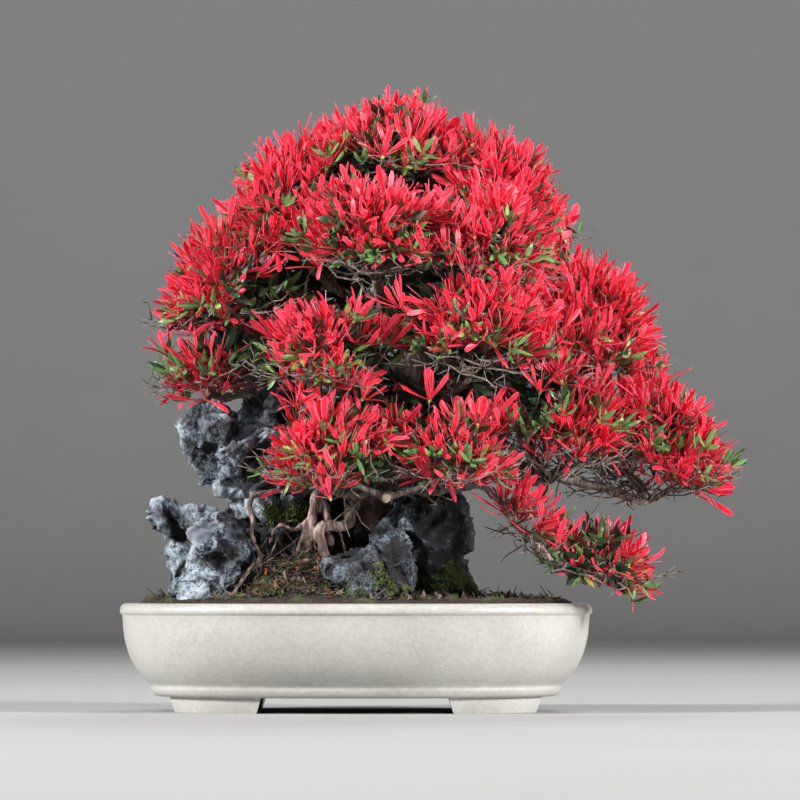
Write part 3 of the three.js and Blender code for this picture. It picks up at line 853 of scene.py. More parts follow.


# The stones: copies of the lumps, made fine enough to carve, with ridges, pits and caves.
# "mossTop" is how high the moss climbs, "patch" one more patch of it (across, height, half width, half
# height), "lit" adds painted light to the stone where it is over 0 and painted shade where it is under 0,
# the key after it adds painted shade from there to the right, and "lowered" sinks its top (across, reach,
# depth). "smooth" spots: across, height and reach. "dents": across, height, half length, half width, tilt
# in degrees, depth (a ledge where it is under 0) and how much painted shade the dent gets, a painted
# highlight where it is under 0
stoneShape = {
    "stone_high": {
        "seed": 3,
        "grid": 2.2,
        "crust": 0.75,
        "mossTop": 122,
        "patch": (-62, 187, 24, 12),
        "lit": 0.0,
        "paintedSideShade": -40,
        "smooth": [(-145, 273, 10), (-104, 258, 11), (-96, 230, 12), (-78, 312, 8)],
        "dents": [
            (-145, 273, 14, 6.5, 45, 8, 0.12),
            (-137, 247, 9, 6, 20, 11, 0.55),
            (-115, 264, 15, 4, 60, 8, 0.45),
            (-88, 245, 19, 6, 38, 11, 0.5),
            (-97, 229, 15, 8, 28, 8, 0.06),
            (-114, 250, 34, 4.5, 27, -4, -0.12),
            (-108, 214, 26, 4, 35, -4, -0.08),
            (-64, 158, 34, 36, 0, 0, 0.42),
        ],
    },
    "stone_low": {
        "seed": 8,
        "grid": 1.8,
        "crust": 0.8,
        "mossTop": 114,
        "lit": 0.04,
        "paintedSideShade": -128,
        "lowered": (-160, 15, 9),
        "smooth": [(-144, 168, 12)],
        "dents": [
            (-168, 176, 18, 6, 105, 13, 0.55),
            (-145, 167, 11, 9, 80, 3, -0.02),
            (-161, 135, 9, 3, 60, 5, 0.4),
            (-132, 146, 12, 4, 20, 7, 0.4),
            (-150, 148, 14, 3, 80, -3, -0.15),
            (-146, 118, 15, 3, 95, -3, -0.15),
        ],
    },
    "stone_right": {
        "seed": 13,
        "grid": 2.7,
        "crust": 0.7,
        "mossTop": 140,
        "lit": -0.18,
        "paintedSideShade": 48,
        "smooth": [(15, 176, 12), (72, 170, 10)],
        "dents": [
            (49, 159, 10, 8, 20, 13, 0.5),
            (15, 177, 13, 8, 35, 5, -0.04),
            (32, 176, 16, 4, 115, -4, -0.32),
            (78, 186, 12, 5, 60, 8, 0.3),
        ],
    },
    "stone_front": {
        "seed": 21,
        "grid": 1.55,
        "crust": 0.6,
        "mossTop": 123,
        "patch": (24, 134, 9, 11),
        "lit": -0.27,
        "paintedSideShade": 60,
        "smooth": [(6, 138, 8)],
        "dents": [
            (6, 138, 12, 7, 30, 5, 0.1),
            (-22, 132, 6, 3, 40, 4, 0.4),
            (33, 137, 18, 4, -65, -4, -0.15),
            (22, 146, 12, 4, -60, 6, 0.35),
        ],
    },
}


# How every stone is carved: the sizes of the forms in millimetres
carving = {
    "foot": 99,
    "warp": (17, 8),
    "caves": 38,
    "facets": ((30, 0.36), (13, 0.34)),
    "pits": 12,
    "smallPits": 5.6,
    "rough": 34,
    "crumbs": 3.4,
    "deepest": {"cave": 9, "pit": 5.2, "smallPit": 2.4},
}


def makeStone(node, shape):
    stone = copyOfNode(node, node.replace("stone", "crustedStone"))
    openEdit(stone)
    foot = (0, 0, carving["foot"] * mm)
    bpy.ops.mesh.bisect(plane_co=foot, plane_no=(0, 0, 1), clear_inner=True, use_fill=True)
    closeEdit()
    remesh = stone.modifiers.new("fine", "REMESH")
    remesh.mode = "VOXEL"
    remesh.voxel_size = shape["grid"] * mm
    applyModifiers(stone)
    points, normals = pointsOf(stone) / mm, normalsOf(stone)
    seed, deepest = shape["seed"], carving["deepest"]
    size, amount = carving["warp"]
    warp = np.c_[tuple(noiseAt(points, size, seed + i) for i in range(3))] * amount
    warped = points + warp
    # pits are drawn out down to the right
    drawnWay = (0.8, 0, -0.6)
    drawn = warped - np.outer(warped @ drawnWay, drawnWay) * 0.42
    caves = cavesAt(warped, carving["caves"], seed + 3, 0.6)
    (wide, tall), (narrow, low) = carving["facets"]
    facets = facetsAt(warped, wide, seed + 4) * tall + facetsAt(warped, narrow, seed + 9) * low
    broad = pitsAt(drawn, carving["pits"], seed + 5, 0.45)
    small = pitsAt(drawn + warp * 0.6, carving["smallPits"], seed + 6, 0.5)
    rough = np.clip(shape["crust"] + 2.4 * noiseAt(points, carving["rough"], seed + 7), 0.04, 1)
    across, up = points[:, 0] - potMiddle[0] / mm, points[:, 2]
    crusty = np.ones(len(points))
    for x, z, reach in shape["smooth"]:
        away = np.hypot(across + 0.4 * warp[:, 0] - x, up + 0.4 * warp[:, 2] - z) / reach
        crusty *= np.clip(away * 2 - 1, 0.03, 1)
    rough *= crusty
    crumbs = noiseAt(points, carving["crumbs"], seed + 8)
    shift = 2.6 - deepest["cave"] * caves ** 1.3 + facets + (0.3 + rough) * 1.1 * crumbs
    shift -= rough * (deepest["pit"] * broad + deepest["smallPit"] * small)
    # painted shade: what lies deep in caves and pits is painted dark
    height = 0.62 - 0.4 * caves + 0.035 * facets - rough * (0.26 * broad + 0.2 * small) + 0.12 * crumbs
    inward = np.zeros(len(points))
    facing = np.clip(0.3 - 2 * normals[:, 1], 0, 1)
    # each dent is pushed in, a ledge out, and painted darker as shade; where its shade is under 0 it is
    # painted paler as a highlight
    for x, z, halfLong, halfWide, tilt, depth, shade in shape["dents"]:
        right, rise = across + 0.3 * warp[:, 0] - x, up + 0.3 * warp[:, 2] - z
        turn = math.radians(tilt)
        lengthwise = (right * math.cos(turn) + rise * math.sin(turn)) / halfLong
        crosswise = (rise * math.cos(turn) - right * math.sin(turn)) / halfWide
        dent = np.clip(1.3 - lengthwise ** 2 - crosswise ** 2, 0, 1) * facing
        inward += depth * dent
        height -= shade * dent
    carved = points + normals * shift[:, None]
    carved[:, 1] += inward
    if "lowered" in shape:
        x, reach, depth = shape["lowered"]
        carved[:, 2] -= depth * np.exp(-(((across - x) / reach) ** 2)) * np.clip((up - 160) / 40, 0, 1)
    putPoints(stone, carved * mm)
    # painted shade on the stone from the given point to the right, and painted light and shade from "lit";
    # the height value also carries the painted shade of caves, pits and dents
    paintedSideShade = np.clip((across - shape["paintedSideShade"]) / 14 + 0.5 * noiseAt(points, 20, seed + 11), 0, 1)
    writeValues(stone, "height", np.clip(height + shape["lit"] - 0.3 * paintedSideShade, 0, 1))
    writeValues(stone, "crusty", crusty)
    cloudy = noiseAt(points, 24, seed + 10, 3)
    mossy = (shape["mossTop"] - points[:, 2]) / 22 + 1.5 * cloudy + 0.35 * normals[:, 2] - 0.1
    if "patch" in shape:
        x, z, halfX, halfZ = shape["patch"]
        away = ((across - x) / halfX) ** 2 + ((up - z) / halfZ) ** 2
        mossy = np.maximum(mossy, 1.1 - away + cloudy)
    writeValues(stone, "moss", np.clip(mossy, 0, 1))
    giveMaterials(stone, stoneCrust)
    shadeSmooth(stone)
    handOver(stone, "stone", node)


for node, shape in stoneShape.items():
    makeStone(node, shape)
print("stones made")


# Clouds of flowers, in millimetres from the pot's middle: the middle of each flat underside, its half
# length, half depth and rise, the way it leans, how far up the trunk its branch starts, the share of
# its rise that shows bare twigs under the flowers, and the share of its flowers that are out
cloudShape = {
    "crown": {
        "at": (34, 2, 508), "size": (96, 80, 86), "lean": (0, 0),
        "bare": 0.14,
    },
    "crown_right": {
        "at": (134, -4, 452), "size": (66, 70, 102), "lean": (0.2, -0.05),
        "from": 0.72, "bare": 0.14,
    },
    "shoulder_left": {
        "at": (-58, -6, 442), "size": (70, 72, 106), "lean": (-0.15, -0.05),
        "from": 0.7, "bare": 0.14,
    },
    "front_high": {
        "at": (18, -94, 414), "size": (76, 62, 106), "lean": (0, -0.3),
        "from": 0.62, "bare": 0.24,
    },
    "front_high_right": {
        "at": (122, -82, 412), "size": (64, 58, 92), "lean": (0.15, -0.3),
        "from": 0.6, "bare": 0.2,
    },
    "back_high": {
        "at": (40, 92, 426), "size": (90, 64, 100), "lean": (0, 0.3),
        "from": 0.62, "bare": 0.18,
    },
    "wing_left": {
        "at": (-116, -14, 368), "size": (72, 74, 104), "lean": (-0.15, -0.05),
        "from": 0.5, "bare": 0.14,
    },
    "front_mid_left": {
        "at": (-24, -98, 316), "size": (62, 60, 90), "lean": (-0.05, -0.3),
        "from": 0.4, "bare": 0.14,
    },
    "front_mid": {
        "at": (108, -106, 322), "size": (80, 62, 106), "lean": (0.05, -0.3),
        "from": 0.44, "bare": 0.28,
    },
    "wing_right": {
        "at": (210, -26, 326), "size": (80, 74, 116), "lean": (0.2, -0.05),
        "from": 0.46, "bare": 0.16,
    },
    "back_left": {
        "at": (-68, 92, 322), "size": (86, 66, 96), "lean": (-0.1, 0.3),
        "from": 0.42, "bare": 0.18,
    },
    "back_right": {
        "at": (142, 94, 326), "size": (90, 68, 98), "lean": (0.1, 0.3),
        "from": 0.42, "bare": 0.18,
    },
    "wing_low_left": {
        "at": (-132, -30, 306), "size": (52, 56, 60), "lean": (-0.12, -0.1),
        "from": 0.36, "bare": 0.3,
    },
    "front_low_left": {
        "at": (-21, -122, 216), "size": (69, 62, 92), "lean": (0, -0.12),
        "from": 0.2, "bare": 0.16, "bloom": 0.86,
    },
    "front_low": {
        "at": (84, -118, 216), "size": (68, 60, 84), "lean": (0.05, -0.12),
        "from": 0.2, "bare": 0.2, "bloom": 0.82,
    },
    "arm_right": {
        "at": (184, -60, 224), "size": (84, 68, 108), "lean": (0.1, -0.15),
        "from": 0.3, "bare": 0.42,
    },
    "arm_right_tip": {
        "at": (278, -16, 206), "size": (82, 72, 112), "lean": (0.18, 0),
        "from": 0.3, "bare": 0.32,
        # some more flowers close the view under the cloud above: foot and axis
        "more": [
            ((243, -34, 287), (-0.1, -0.3, 1)), ((253, -20, 290), (0.1, -0.1, 1)),
            ((262, -36, 286), (0.3, -0.3, 1)), ((234, -22, 289), (-0.3, 0, 1)),
        ],
    },
    "drooping_right": {
        "at": (220, -70, 130), "size": (64, 52, 66), "lean": (0.3, -0.15),
        "from": 0.12, "bare": 0.12, "bloom": 0.8,
    },
    "back_low": {
        "at": (54, 128, 234), "size": (94, 62, 92), "lean": (0, 0.25),
        "from": 0.22, "bare": 0.18,
    },
}

# Dark gaps between the layers, seen from the front: middle across, height, half width, half height
gapShape = [
    (16, 512, 46, 18), (66, 490, 18, 13), (14, 416, 80, 16), (-88, 386, 30, 17), (-38, 406, 36, 18),
    (52, 334, 62, 20), (10, 336, 32, 15), (128, 324, 50, 11), (-150, 371, 36, 8), (-96, 320, 22, 9),
    (-79, 318, 15, 24),
]

# The wood: smooth lines with a radius at each end, in millimetres from the pot's middle
woodShape = {
    "trunk": [
        (16, 22, 168), (24, 10, 212), (48, 0, 268), (57, -4, 325), (42, 4, 385), (24, 4, 445), (24, 4, 508),
    ],
    "trunkRadius": (26, 4.5),
    "branchEnd": 3.2,
    "hubDrop": 9,  # how far under its cloud a branch ends and forks
    # muscles that wind up the trunk from the roots
    "muscles": {"count": 5, "winding": 2.4, "out": 0.66, "thick": 0.40, "thin": 0.7},
    "turns": {
        "arm_right_tip": [(122, -20, 240), (182, -44, 225), (232, -34, 211), (256, -24, 204)],
        "drooping_right": [
            (100, -70, 213), (118, -80, 213), (138, -90, 194), (150, -96, 178), (168, -102, 160),
            (184, -106, 143),
        ],
        "front_low_left": [(20, -60, 212), (2, -100, 204)],
        "front_low": [(48, -62, 214), (64, -96, 206)],
        "arm_right": [(92, -22, 236), (136, -42, 222)],
        "wing_low_left": [(-24, -12, 318), (-86, -22, 304)],
    },
    "roots": [
        ([(6, 0, 206), (-26, -44, 210), (-37, -62, 202), (-40, -70, 187), (-41, -74, 177), (-42, -78, 160),
          (-40, -84, 132)], (6.6, 3.8)),
        ([(-41, -72, 178), (-48, -76, 168), (-52, -80, 156), (-56, -86, 136), (-58, -92, 112)], (3.6, 2.2)),
        ([(4, 0, 200), (-4, -40, 192), (-6, -66, 178), (-16, -80, 174), (-28, -84, 176), (-35, -86, 170),
          (-32, -88, 160), (-29, -88, 148), (-28, -88, 134)], (5.8, 4.8)),
        ([(-14, -30, 206), (-30, -52, 208), (-30, -60, 198), (-27, -66, 186), (-24, -72, 156)], (5.2, 4.2)),
        ([(-46, -72, 180), (-58, -80, 171), (-68, -82, 176), (-77, -84, 169), (-80, -88, 158)], (2.5, 1.8)),
        ([(2, 8, 202), (-52, -34, 208), (-88, -60, 206), (-99, -69, 198), (-96, -74, 180), (-97, -77, 168),
          (-93, -81, 155), (-89, -85, 145), (-90, -92, 112)], (3.6, 2.2)),
        ([(-86, -82, 148), (-96, -91, 138), (-104, -98, 126), (-109, -103, 118), (-117, -109, 104)],
         (2.5, 2.2)),
        ([(34, 6, 208), (66, 4, 212), (90, 8, 186), (96, 10, 142), (102, 8, 104)], (10, 5)),
        ([(14, 34, 190), (2, 72, 176), (-8, 92, 142), (-12, 104, 104)], (10, 5)),
        ([(40, 30, 190), (62, 66, 172), (78, 84, 136), (86, 94, 104)], (9, 4.5)),
    ],
    "lowBranches": [
        ([(24, 10, 214), (27, -60, 208), (29, -120, 203), (29, -152, 200)], (6.5, 4.6)),
        ([(29, -140, 201), (8, -143, 209), (-22, -146, 221)], (4.2, 2.2)),
        ([(29, -140, 201), (54, -143, 208), (84, -144, 222)], (4.2, 2.2)),
    ],
    "cutEnd": (29, -154, 200),
    "cutRadius": 6.5,
    "rootsUnder": 212,
    "grid": 2.3,
}


def unit(vectors):
    vectors = np.asarray(vectors, float)
    return vectors / np.maximum(np.linalg.norm(vectors, axis=-1, keepdims=True), 1e-9)


# A smooth line through the points, as many points long as asked
def smoothLine(points, count):
    points = np.asarray(points, float)
    ends = np.vstack([2 * points[0] - points[1], points, 2 * points[-1] - points[-2]])
    found = []
    for place in np.linspace(0, len(points) - 1, count):
        i = min(int(place), len(points) - 2)
        t = place - i
        a, b, c, d = ends[i], ends[i + 1], ends[i + 2], ends[i + 3]
        bend, sway = 2 * a - 5 * b + 4 * c - d, 3 * b - a - 3 * c + d
        found.append(0.5 * (2 * b + (c - a) * t + bend * t * t + sway * t ** 3))
    return np.array(found)


def cloudAxis(cloud):
    return unit(np.array([cloud["lean"][0], cloud["lean"][1], 1.0]))


def branchLine(name, trunkPoints):
    cloud = cloudShape[name]
    start = trunkPoints[int(cloud["from"] * (len(trunkPoints) - 1))]
    end = np.array(cloud["at"]) - woodShape["hubDrop"] * cloudAxis(cloud)
    sag = start * 0.45 + end * 0.55
    sag[2] = min(start[2], end[2]) * 0.5 + sag[2] * 0.5 - 6
    turns = woodShape["turns"].get(name, [tuple(sag)])
    line = [tuple(start), *turns, tuple(end)]
    slim = name in ("front_low_left", "front_low", "drooping_right")
    thick = 6.0 if slim else min(8, 4.2 + np.linalg.norm(end - start) / 45)
    return smoothLine(line, 7 * len(line)), thick, woodShape["branchEnd"]


def radiusAt(thick, thin, along):
    return thick + (thin - thick) * along ** 0.8


def makeTrunk():
    curve = bpy.data.curves.new("wood", "CURVE")
    curve.dimensions = "3D"
    curve.bevel_depth = 1.0
    curve.bevel_resolution = 3
    curve.use_fill_caps = True
    chance = np.random.default_rng(5)

    def addLimb(line, thick, thin, wander, knots=0.12):
        limb = curve.splines.new("POLY")
        limb.points.add(len(line) - 1)
        drift = chance.normal(0, wander, (len(line), 3))
        drift[0] = drift[-1] = 0
        for i, place in enumerate(line):
            along = i / (len(line) - 1)
            radius = radiusAt(thick, thin, along) * (1 + chance.uniform(-knots, knots))
            limb.points[i].co = (*(place + drift[i]), 1)
            limb.points[i].radius = radius

    trunkPoints = smoothLine(woodShape["trunk"], 60)
    thick, thin = woodShape["trunkRadius"]
    addLimb(trunkPoints, thick, thin, 0.6, 0.05)
    muscles = woodShape["muscles"]
    for k in range(muscles["count"]):
        line = []
        for i in range(8, 46):
            along = i / (len(trunkPoints) - 1)
            turn = k * 2 * math.pi / muscles["count"] + muscles["winding"] * along
            reach = radiusAt(thick, thin, along) * muscles["out"]
            line.append(trunkPoints[i] + np.array([math.cos(turn), math.sin(turn), 0]) * reach)
        addLimb(np.array(line), thick * muscles["thick"], thin * muscles["thin"], 0.8)
    for line, (thick, thin) in woodShape["roots"] + woodShape["lowBranches"]:
        addLimb(smoothLine(line, 6 * len(line)), thick, thin, 0.5, 0.08)
    for name in cloudShape:
        if name != "crown":
            line, thick, thin = branchLine(name, trunkPoints)
            addLimb(line, thick, thin, 1.1)
            # side shoots that leave the branch and end as stubs
            for place in chance.choice(np.arange(3, len(line) - 4), 3, replace=False):
                lift = chance.uniform(-1, 1, 3) * (11, 11, 7)
                stub = line[place : place + 4] + np.linspace(0, 1, 4)[:, None] * lift
                addLimb(stub, thick * 0.5, 2.0, 0.5)
    wood = bpy.data.objects.new("wood", curve)
    bpy.context.scene.collection.objects.link(wood)
    pickOnly(wood)
    bpy.ops.object.convert(target="MESH")
    trunk = bpy.context.object
    trunk.name = "trunkWood"
    putPoints(trunk, pointsOf(trunk) * mm + potMiddle)
    remesh = trunk.modifiers.new("grown", "REMESH")
    remesh.mode = "VOXEL"
    remesh.voxel_size = woodShape["grid"] * mm
    smooth = trunk.modifiers.new("smooth", "SMOOTH")
    smooth.factor = 0.5
    smooth.iterations = 2
    applyModifiers(trunk)
    points, normals = pointsOf(trunk) / mm, normalsOf(trunk)
    drawn = points * (1, 1, 0.3)
    flakes = 0.9 * ridgesAt(drawn, 5.5, 31) + 0.5 * noiseAt(drawn, 2.6, 32)
    lowness = np.clip((woodShape["rootsUnder"] - points[:, 2]) / 14, 0, 1)
    shift = flakes * (1 - 0.3 * lowness) * 0.75 - 0.2
    putPoints(trunk, (points + normals * shift[:, None]) * mm)
    writeValues(trunk, "root", lowness)
    away = np.linalg.norm(points - potMiddle / mm - woodShape["cutEnd"], axis=1)
    writeValues(trunk, "cut", np.clip((woodShape["cutRadius"] - away) / 1.5, 0, 1))
    giveMaterials(trunk, trunkBark)
    shadeSmooth(trunk)
    handOver(trunk, "bark", "trunk")
    return trunkPoints


trunkPoints = makeTrunk()
print("trunk made")


# Blades: a closed strip modelled once, one unit long, whose copies are bent and placed by number.
# Each station is (how far along, half width, half thickness), and the channel sinks its middle line
def modelBlade(name, stations, sides, channel=0.0):
    deselectAll()
    along, width, depth = stations[0]
    bpy.ops.mesh.primitive_circle_add(
        vertices=sides, radius=1, fill_type="NGON", rotation=(math.pi / 2, 0, 0)
    )
    blade = bpy.context.object
    blade.name = name
    applyPlace(blade)
    putPoints(blade, pointsOf(blade) * (width, 1, depth) + (0, along, 0))
    openEdit(blade)
    for nextAlong, nextWidth, nextDepth in stations[1:]:
        extrudeBy(0, nextAlong - along, 0)
        scaleAbout((0, nextAlong, 0), nextWidth / width, 1, nextDepth / depth)
        along, width, depth = nextAlong, nextWidth, nextDepth
    bpy.ops.mesh.select_all(action="SELECT")
    bpy.ops.mesh.normals_make_consistent(inside=False)
    bpy.ops.mesh.quads_convert_to_tris()
    closeEdit()
    points = pointsOf(blade)
    points[np.abs(points[:, 0]) < 0.02, 2] -= channel
    faces = np.array([list(face.vertices) for face in blade.data.polygons])
    widths = np.interp(points[:, 1], [s[0] for s in stations], [s[1] for s in stations])
    shape = {"points": points, "faces": faces, "side": points[:, 0] / widths}
    removePiece(blade)
    return shape


# Copies of a blade: feet and ways have a row for each copy, and a measure is an array or one number
def placeBlades(blade, feet, alongWays, acrossWays, *measures, material=0):
    shape, count = blade["points"], len(feet)
    lengths, widths, depths, curls, twists, tints = (np.broadcast_to(each, count) for each in measures)
    along = unit(alongWays)
    across = unit(acrossWays - along * np.sum(acrossWays * along, axis=1, keepdims=True))
    up = np.cross(across, along)
    t = shape[None, :, 1]
    curl = np.where(np.abs(curls) < 1e-3, 1e-3, curls)[:, None]
    turn = curl * t
    twist = twists[:, None] * t
    x0 = shape[None, :, 0] * widths[:, None]
    z0 = shape[None, :, 2] * depths[:, None]
    x = x0 * np.cos(twist) - z0 * np.sin(twist)
    z = x0 * np.sin(twist) + z0 * np.cos(twist)
    run = lengths[:, None] * np.sin(turn) / curl - z * np.sin(turn)
    lift = lengths[:, None] * (1 - np.cos(turn)) / curl + z * np.cos(turn)
    points = (
        feet[:, None, :]
        + across[:, None, :] * x[:, :, None]
        + along[:, None, :] * run[:, :, None]
        + up[:, None, :] * lift[:, :, None]
    )
    corners = len(shape)
    faces = blade["faces"][None] + (np.arange(count) * corners)[:, None, None]
    return {
        "points": points.reshape(-1, 3),
        "faces": faces.reshape(-1, 3),
        "along": np.tile(shape[:, 1], count),
        "side": np.tile(blade["side"], count),
        "tint": np.repeat(tints, corners),
        "material": material,
    }


# Thin rods from the starts to the ends
def placeRods(blade, starts, ends, radii, tints, longer=1.0):
    ways = ends - starts
    lengths = np.linalg.norm(ways, axis=1) * longer
    return placeBlades(blade, starts, ways, anyAcross(unit(ways)), lengths, radii, radii, 0, 0, tints)


# Strands at the feet, with measures drawn from their ranges
def scatterStrands(blade, feet, ways, chance, length, radius, curl, tint):
    count = len(feet)
    return placeBlades(
        blade,
        feet,
        ways,
        anyAcross(ways),
        chance.uniform(*length, count),
        chance.uniform(*radius, count),
        chance.uniform(*radius, count),
        chance.normal(0, curl, count),
        0,
        chance.uniform(*tint, count),
    )


# One piece from several sets of blades, each with its own material, kept inside the solids' box
def growPiece(name, sets, materials, crisp=True):
    points = np.vstack([part["points"] for part in sets]) * mm + potMiddle
    margin = 0.6 * mm
    points = np.clip(points, np.array(cadBox[0]) + margin, np.array(cadBox[1]) - margin)
    shifts = np.cumsum([0] + [len(part["points"]) for part in sets])
    faces = np.vstack([part["faces"] + shift for part, shift in zip(sets, shifts)])
    mesh = bpy.data.meshes.new(name)
    mesh.vertices.add(len(points))
    mesh.vertices.foreach_set("co", points.ravel())
    mesh.loops.add(faces.size)
    mesh.loops.foreach_set("vertex_index", faces.ravel().astype(np.int32))
    mesh.polygons.add(len(faces))
    mesh.polygons.foreach_set("loop_start", np.arange(0, faces.size, 3, dtype=np.int32))
    mesh.polygons.foreach_set("loop_total", np.full(len(faces), 3, np.int32))
    owner = np.concatenate([np.full(len(part["faces"]), part["material"], np.int32) for part in sets])
    mesh.update(calc_edges=True)
    mesh.validate()
    piece = bpy.data.objects.new(name, mesh)
    bpy.context.scene.collection.objects.link(piece)
    giveMaterials(piece, *materials)
    mesh.polygons.foreach_set("material_index", owner)
    for value in ("along", "side", "tint"):
        writeValues(piece, value, np.concatenate([part[value] for part in sets]))
    if crisp:
        shadeByAngle(piece, 70)
    else:
        shadeSmooth(piece)
    return piece


petalStations = [(0, 0.22, 0.6), (0.3, 0.5, 1), (0.6, 0.92, 1), (0.86, 1.0, 1), (1.0, 0.40, 0.5)]
petalBlade = modelBlade("petal", petalStations, 4, 0.9)
leafStations = [(0, 0.14, 0.7), (0.36, 0.95, 1), (0.68, 0.85, 1), (1.0, 0.06, 0.5)]
leafBlade = modelBlade("leaf", leafStations, 4, 1.3)
shadeLeafBlade = modelBlade("shadeLeaf", [(0, 0.2, 0.7), (0.5, 1.0, 1), (1.0, 0.08, 0.5)], 4, 1.3)
stamenBlade = modelBlade("stamen", [(0, 0.8, 0.8), (0.93, 0.6, 0.6), (1.0, 1.5, 1.5)], 3)
calyxBlade = modelBlade("calyx", [(0, 0.35, 0.35), (0.45, 1.0, 1.0), (1.0, 0.75, 0.75)], 3)
twigBlade = modelBlade("twig", [(0, 1.0, 1.0), (0.5, 0.85, 0.85), (1.0, 0.62, 0.62)], 3)
shootBlade = modelBlade("shoot", [(0, 1.0, 1.0), (1.0, 0.6, 0.6)], 3)
hairBlade = modelBlade("hair", [(0, 1.0, 1.0), (0.6, 0.7, 0.7), (1.0, 0.2, 0.2)], 3)
print("blades modelled")

# Lengths in millimetres, and the space of a flower on its cloud in square millimetres
flowerShape = {
    "petals": 5,
    "length": (27, 39),
    "halfWidth": (1.8, 3.0),
    "thickness": 0.45,
    "open": (0.3, 1.3),
    "wide": {"share": 0.03, "open": 0.35, "width": 2.1},
    "hanging": 0.13,
    "reach": 31,
    "space": 378,
    "threads": 5,
    "threadLength": (24, 36),
    "threadRadius": 0.38,
    "calyxLength": 5.5,
    "calyxRadius": 2.0,
}
# Sizes of a leaf, the share of the flowers with a whorl beside them, and how much hem and inside each
# further whorl has
leafShape = {
    "length": (13, 22),
    "halfWidth": (2.2, 3.3),
    "thickness": 0.35,
    "beside": 0.21,
    "hemSpace": 5,
    "insideSpace": 120,
}


def anyAcross(ways):
    side = np.where(np.abs(ways[:, 2:3]) < 0.9, [[0, 0, 1.0]], [[1.0, 0, 0]])
    return unit(np.cross(ways, side))


# The way each petal or leaf leans out from its axis, and its own way when it opens by an angle
def openedWays(axes, start, turn, opened):
    outward = start * np.cos(turn)[:, None] + np.cross(axes, start) * np.sin(turn)[:, None]
    return outward, axes * np.cos(opened)[:, None] + outward * np.sin(opened)[:, None]


def cloudFrame(name):
    cloud = cloudShape[name]
    axis = cloudAxis(cloud)
    right = unit(np.array([1.0, 0, 0]) - axis * axis[0])
    back = np.cross(axis, right)
    return np.array(cloud["at"], float), np.array(cloud["size"], float), np.array([right, back, axis])


# How far inside a cloud each point lies: under 1 is inside
def depthIn(name, points):
    at, size, sides = cloudFrame(name)
    local = (points - at) @ sides.T / size
    return np.where(local[:, 2] > -0.12, np.linalg.norm(local, axis=1), 9)


# The same for all the clouds together, which swell into the grooves where they meet
def depthInAll(points):
    firmness = 6.5
    total = sum(np.exp(-firmness * depthIn(name, points)) for name in cloudShape)
    return -np.log(total) / firmness


# Whether each point lies in the shade just under another cloud
def isShaded(name, points):
    depth = 24
    shaded = np.zeros(len(points), bool)
    for other in cloudShape:
        if other != name:
            at, size, sides = cloudFrame(other)
            local = (points - at) @ sides.T
            within = (local[:, 0] / size[0]) ** 2 + (local[:, 1] / size[1]) ** 2 < 0.62
            shaded |= within & (local[:, 2] < 2) & (local[:, 2] > -depth)
    return shaded


# From the heart of a cloud along each way, out to where the clouds end
def outTo(heart, ways, lengths):
    near = np.full(len(ways), 0.4)
    far = np.full(len(ways), 1.5)
    for _ in range(14):
        middle = (near + far) / 2
        inside = depthInAll(heart + ways * (lengths * middle)[:, None]) < 1
        near, far = np.where(inside, middle, near), np.where(inside, far, middle)
    return near


# Whether each point is clear of the other clouds and of the ground
def isFree(name, points, limit):
    clearance = 6.5
    free = np.ones(len(points), bool)
    for other in cloudShape:
        if other != name:
            free &= depthIn(other, points) > limit
    return free & (points[:, 2] > groundShape["level"] + clearance)


# Whether each point lies in one of the dark gaps
def inGap(points):
    inside = np.zeros(len(points), bool)
    edge = 1 + 0.5 * noiseAt(points, 16, 41)
    for x, z, halfX, halfZ in gapShape:
        inside |= ((points[:, 0] - x) / halfX) ** 2 + ((points[:, 2] - z) / halfZ) ** 2 < edge
    return inside & (points[:, 1] < -10)


# Only what stands on the upper side of the drooping branch is kept, and more flowers line it
def lineDroopingBranch(feet, axes, chance):
    above = (feet[:, 0] - 165) * 0.6 + (feet[:, 2] - 163) * 0.8 > 2
    line = branchLine("drooping_right", trunkPoints)[0]
    count = 13
    more = line[(np.linspace(0.46, 0.84, count) * (len(line) - 1)).astype(int)]
    more = more + chance.normal(0, 6, (count, 3)) + [6, 0, 8]
    upright = unit(chance.normal(0, 0.45, (count, 3)) + [0.45, -0.1, 0.8])
    return np.vstack([feet[above], more]), np.vstack([axes[above], upright])


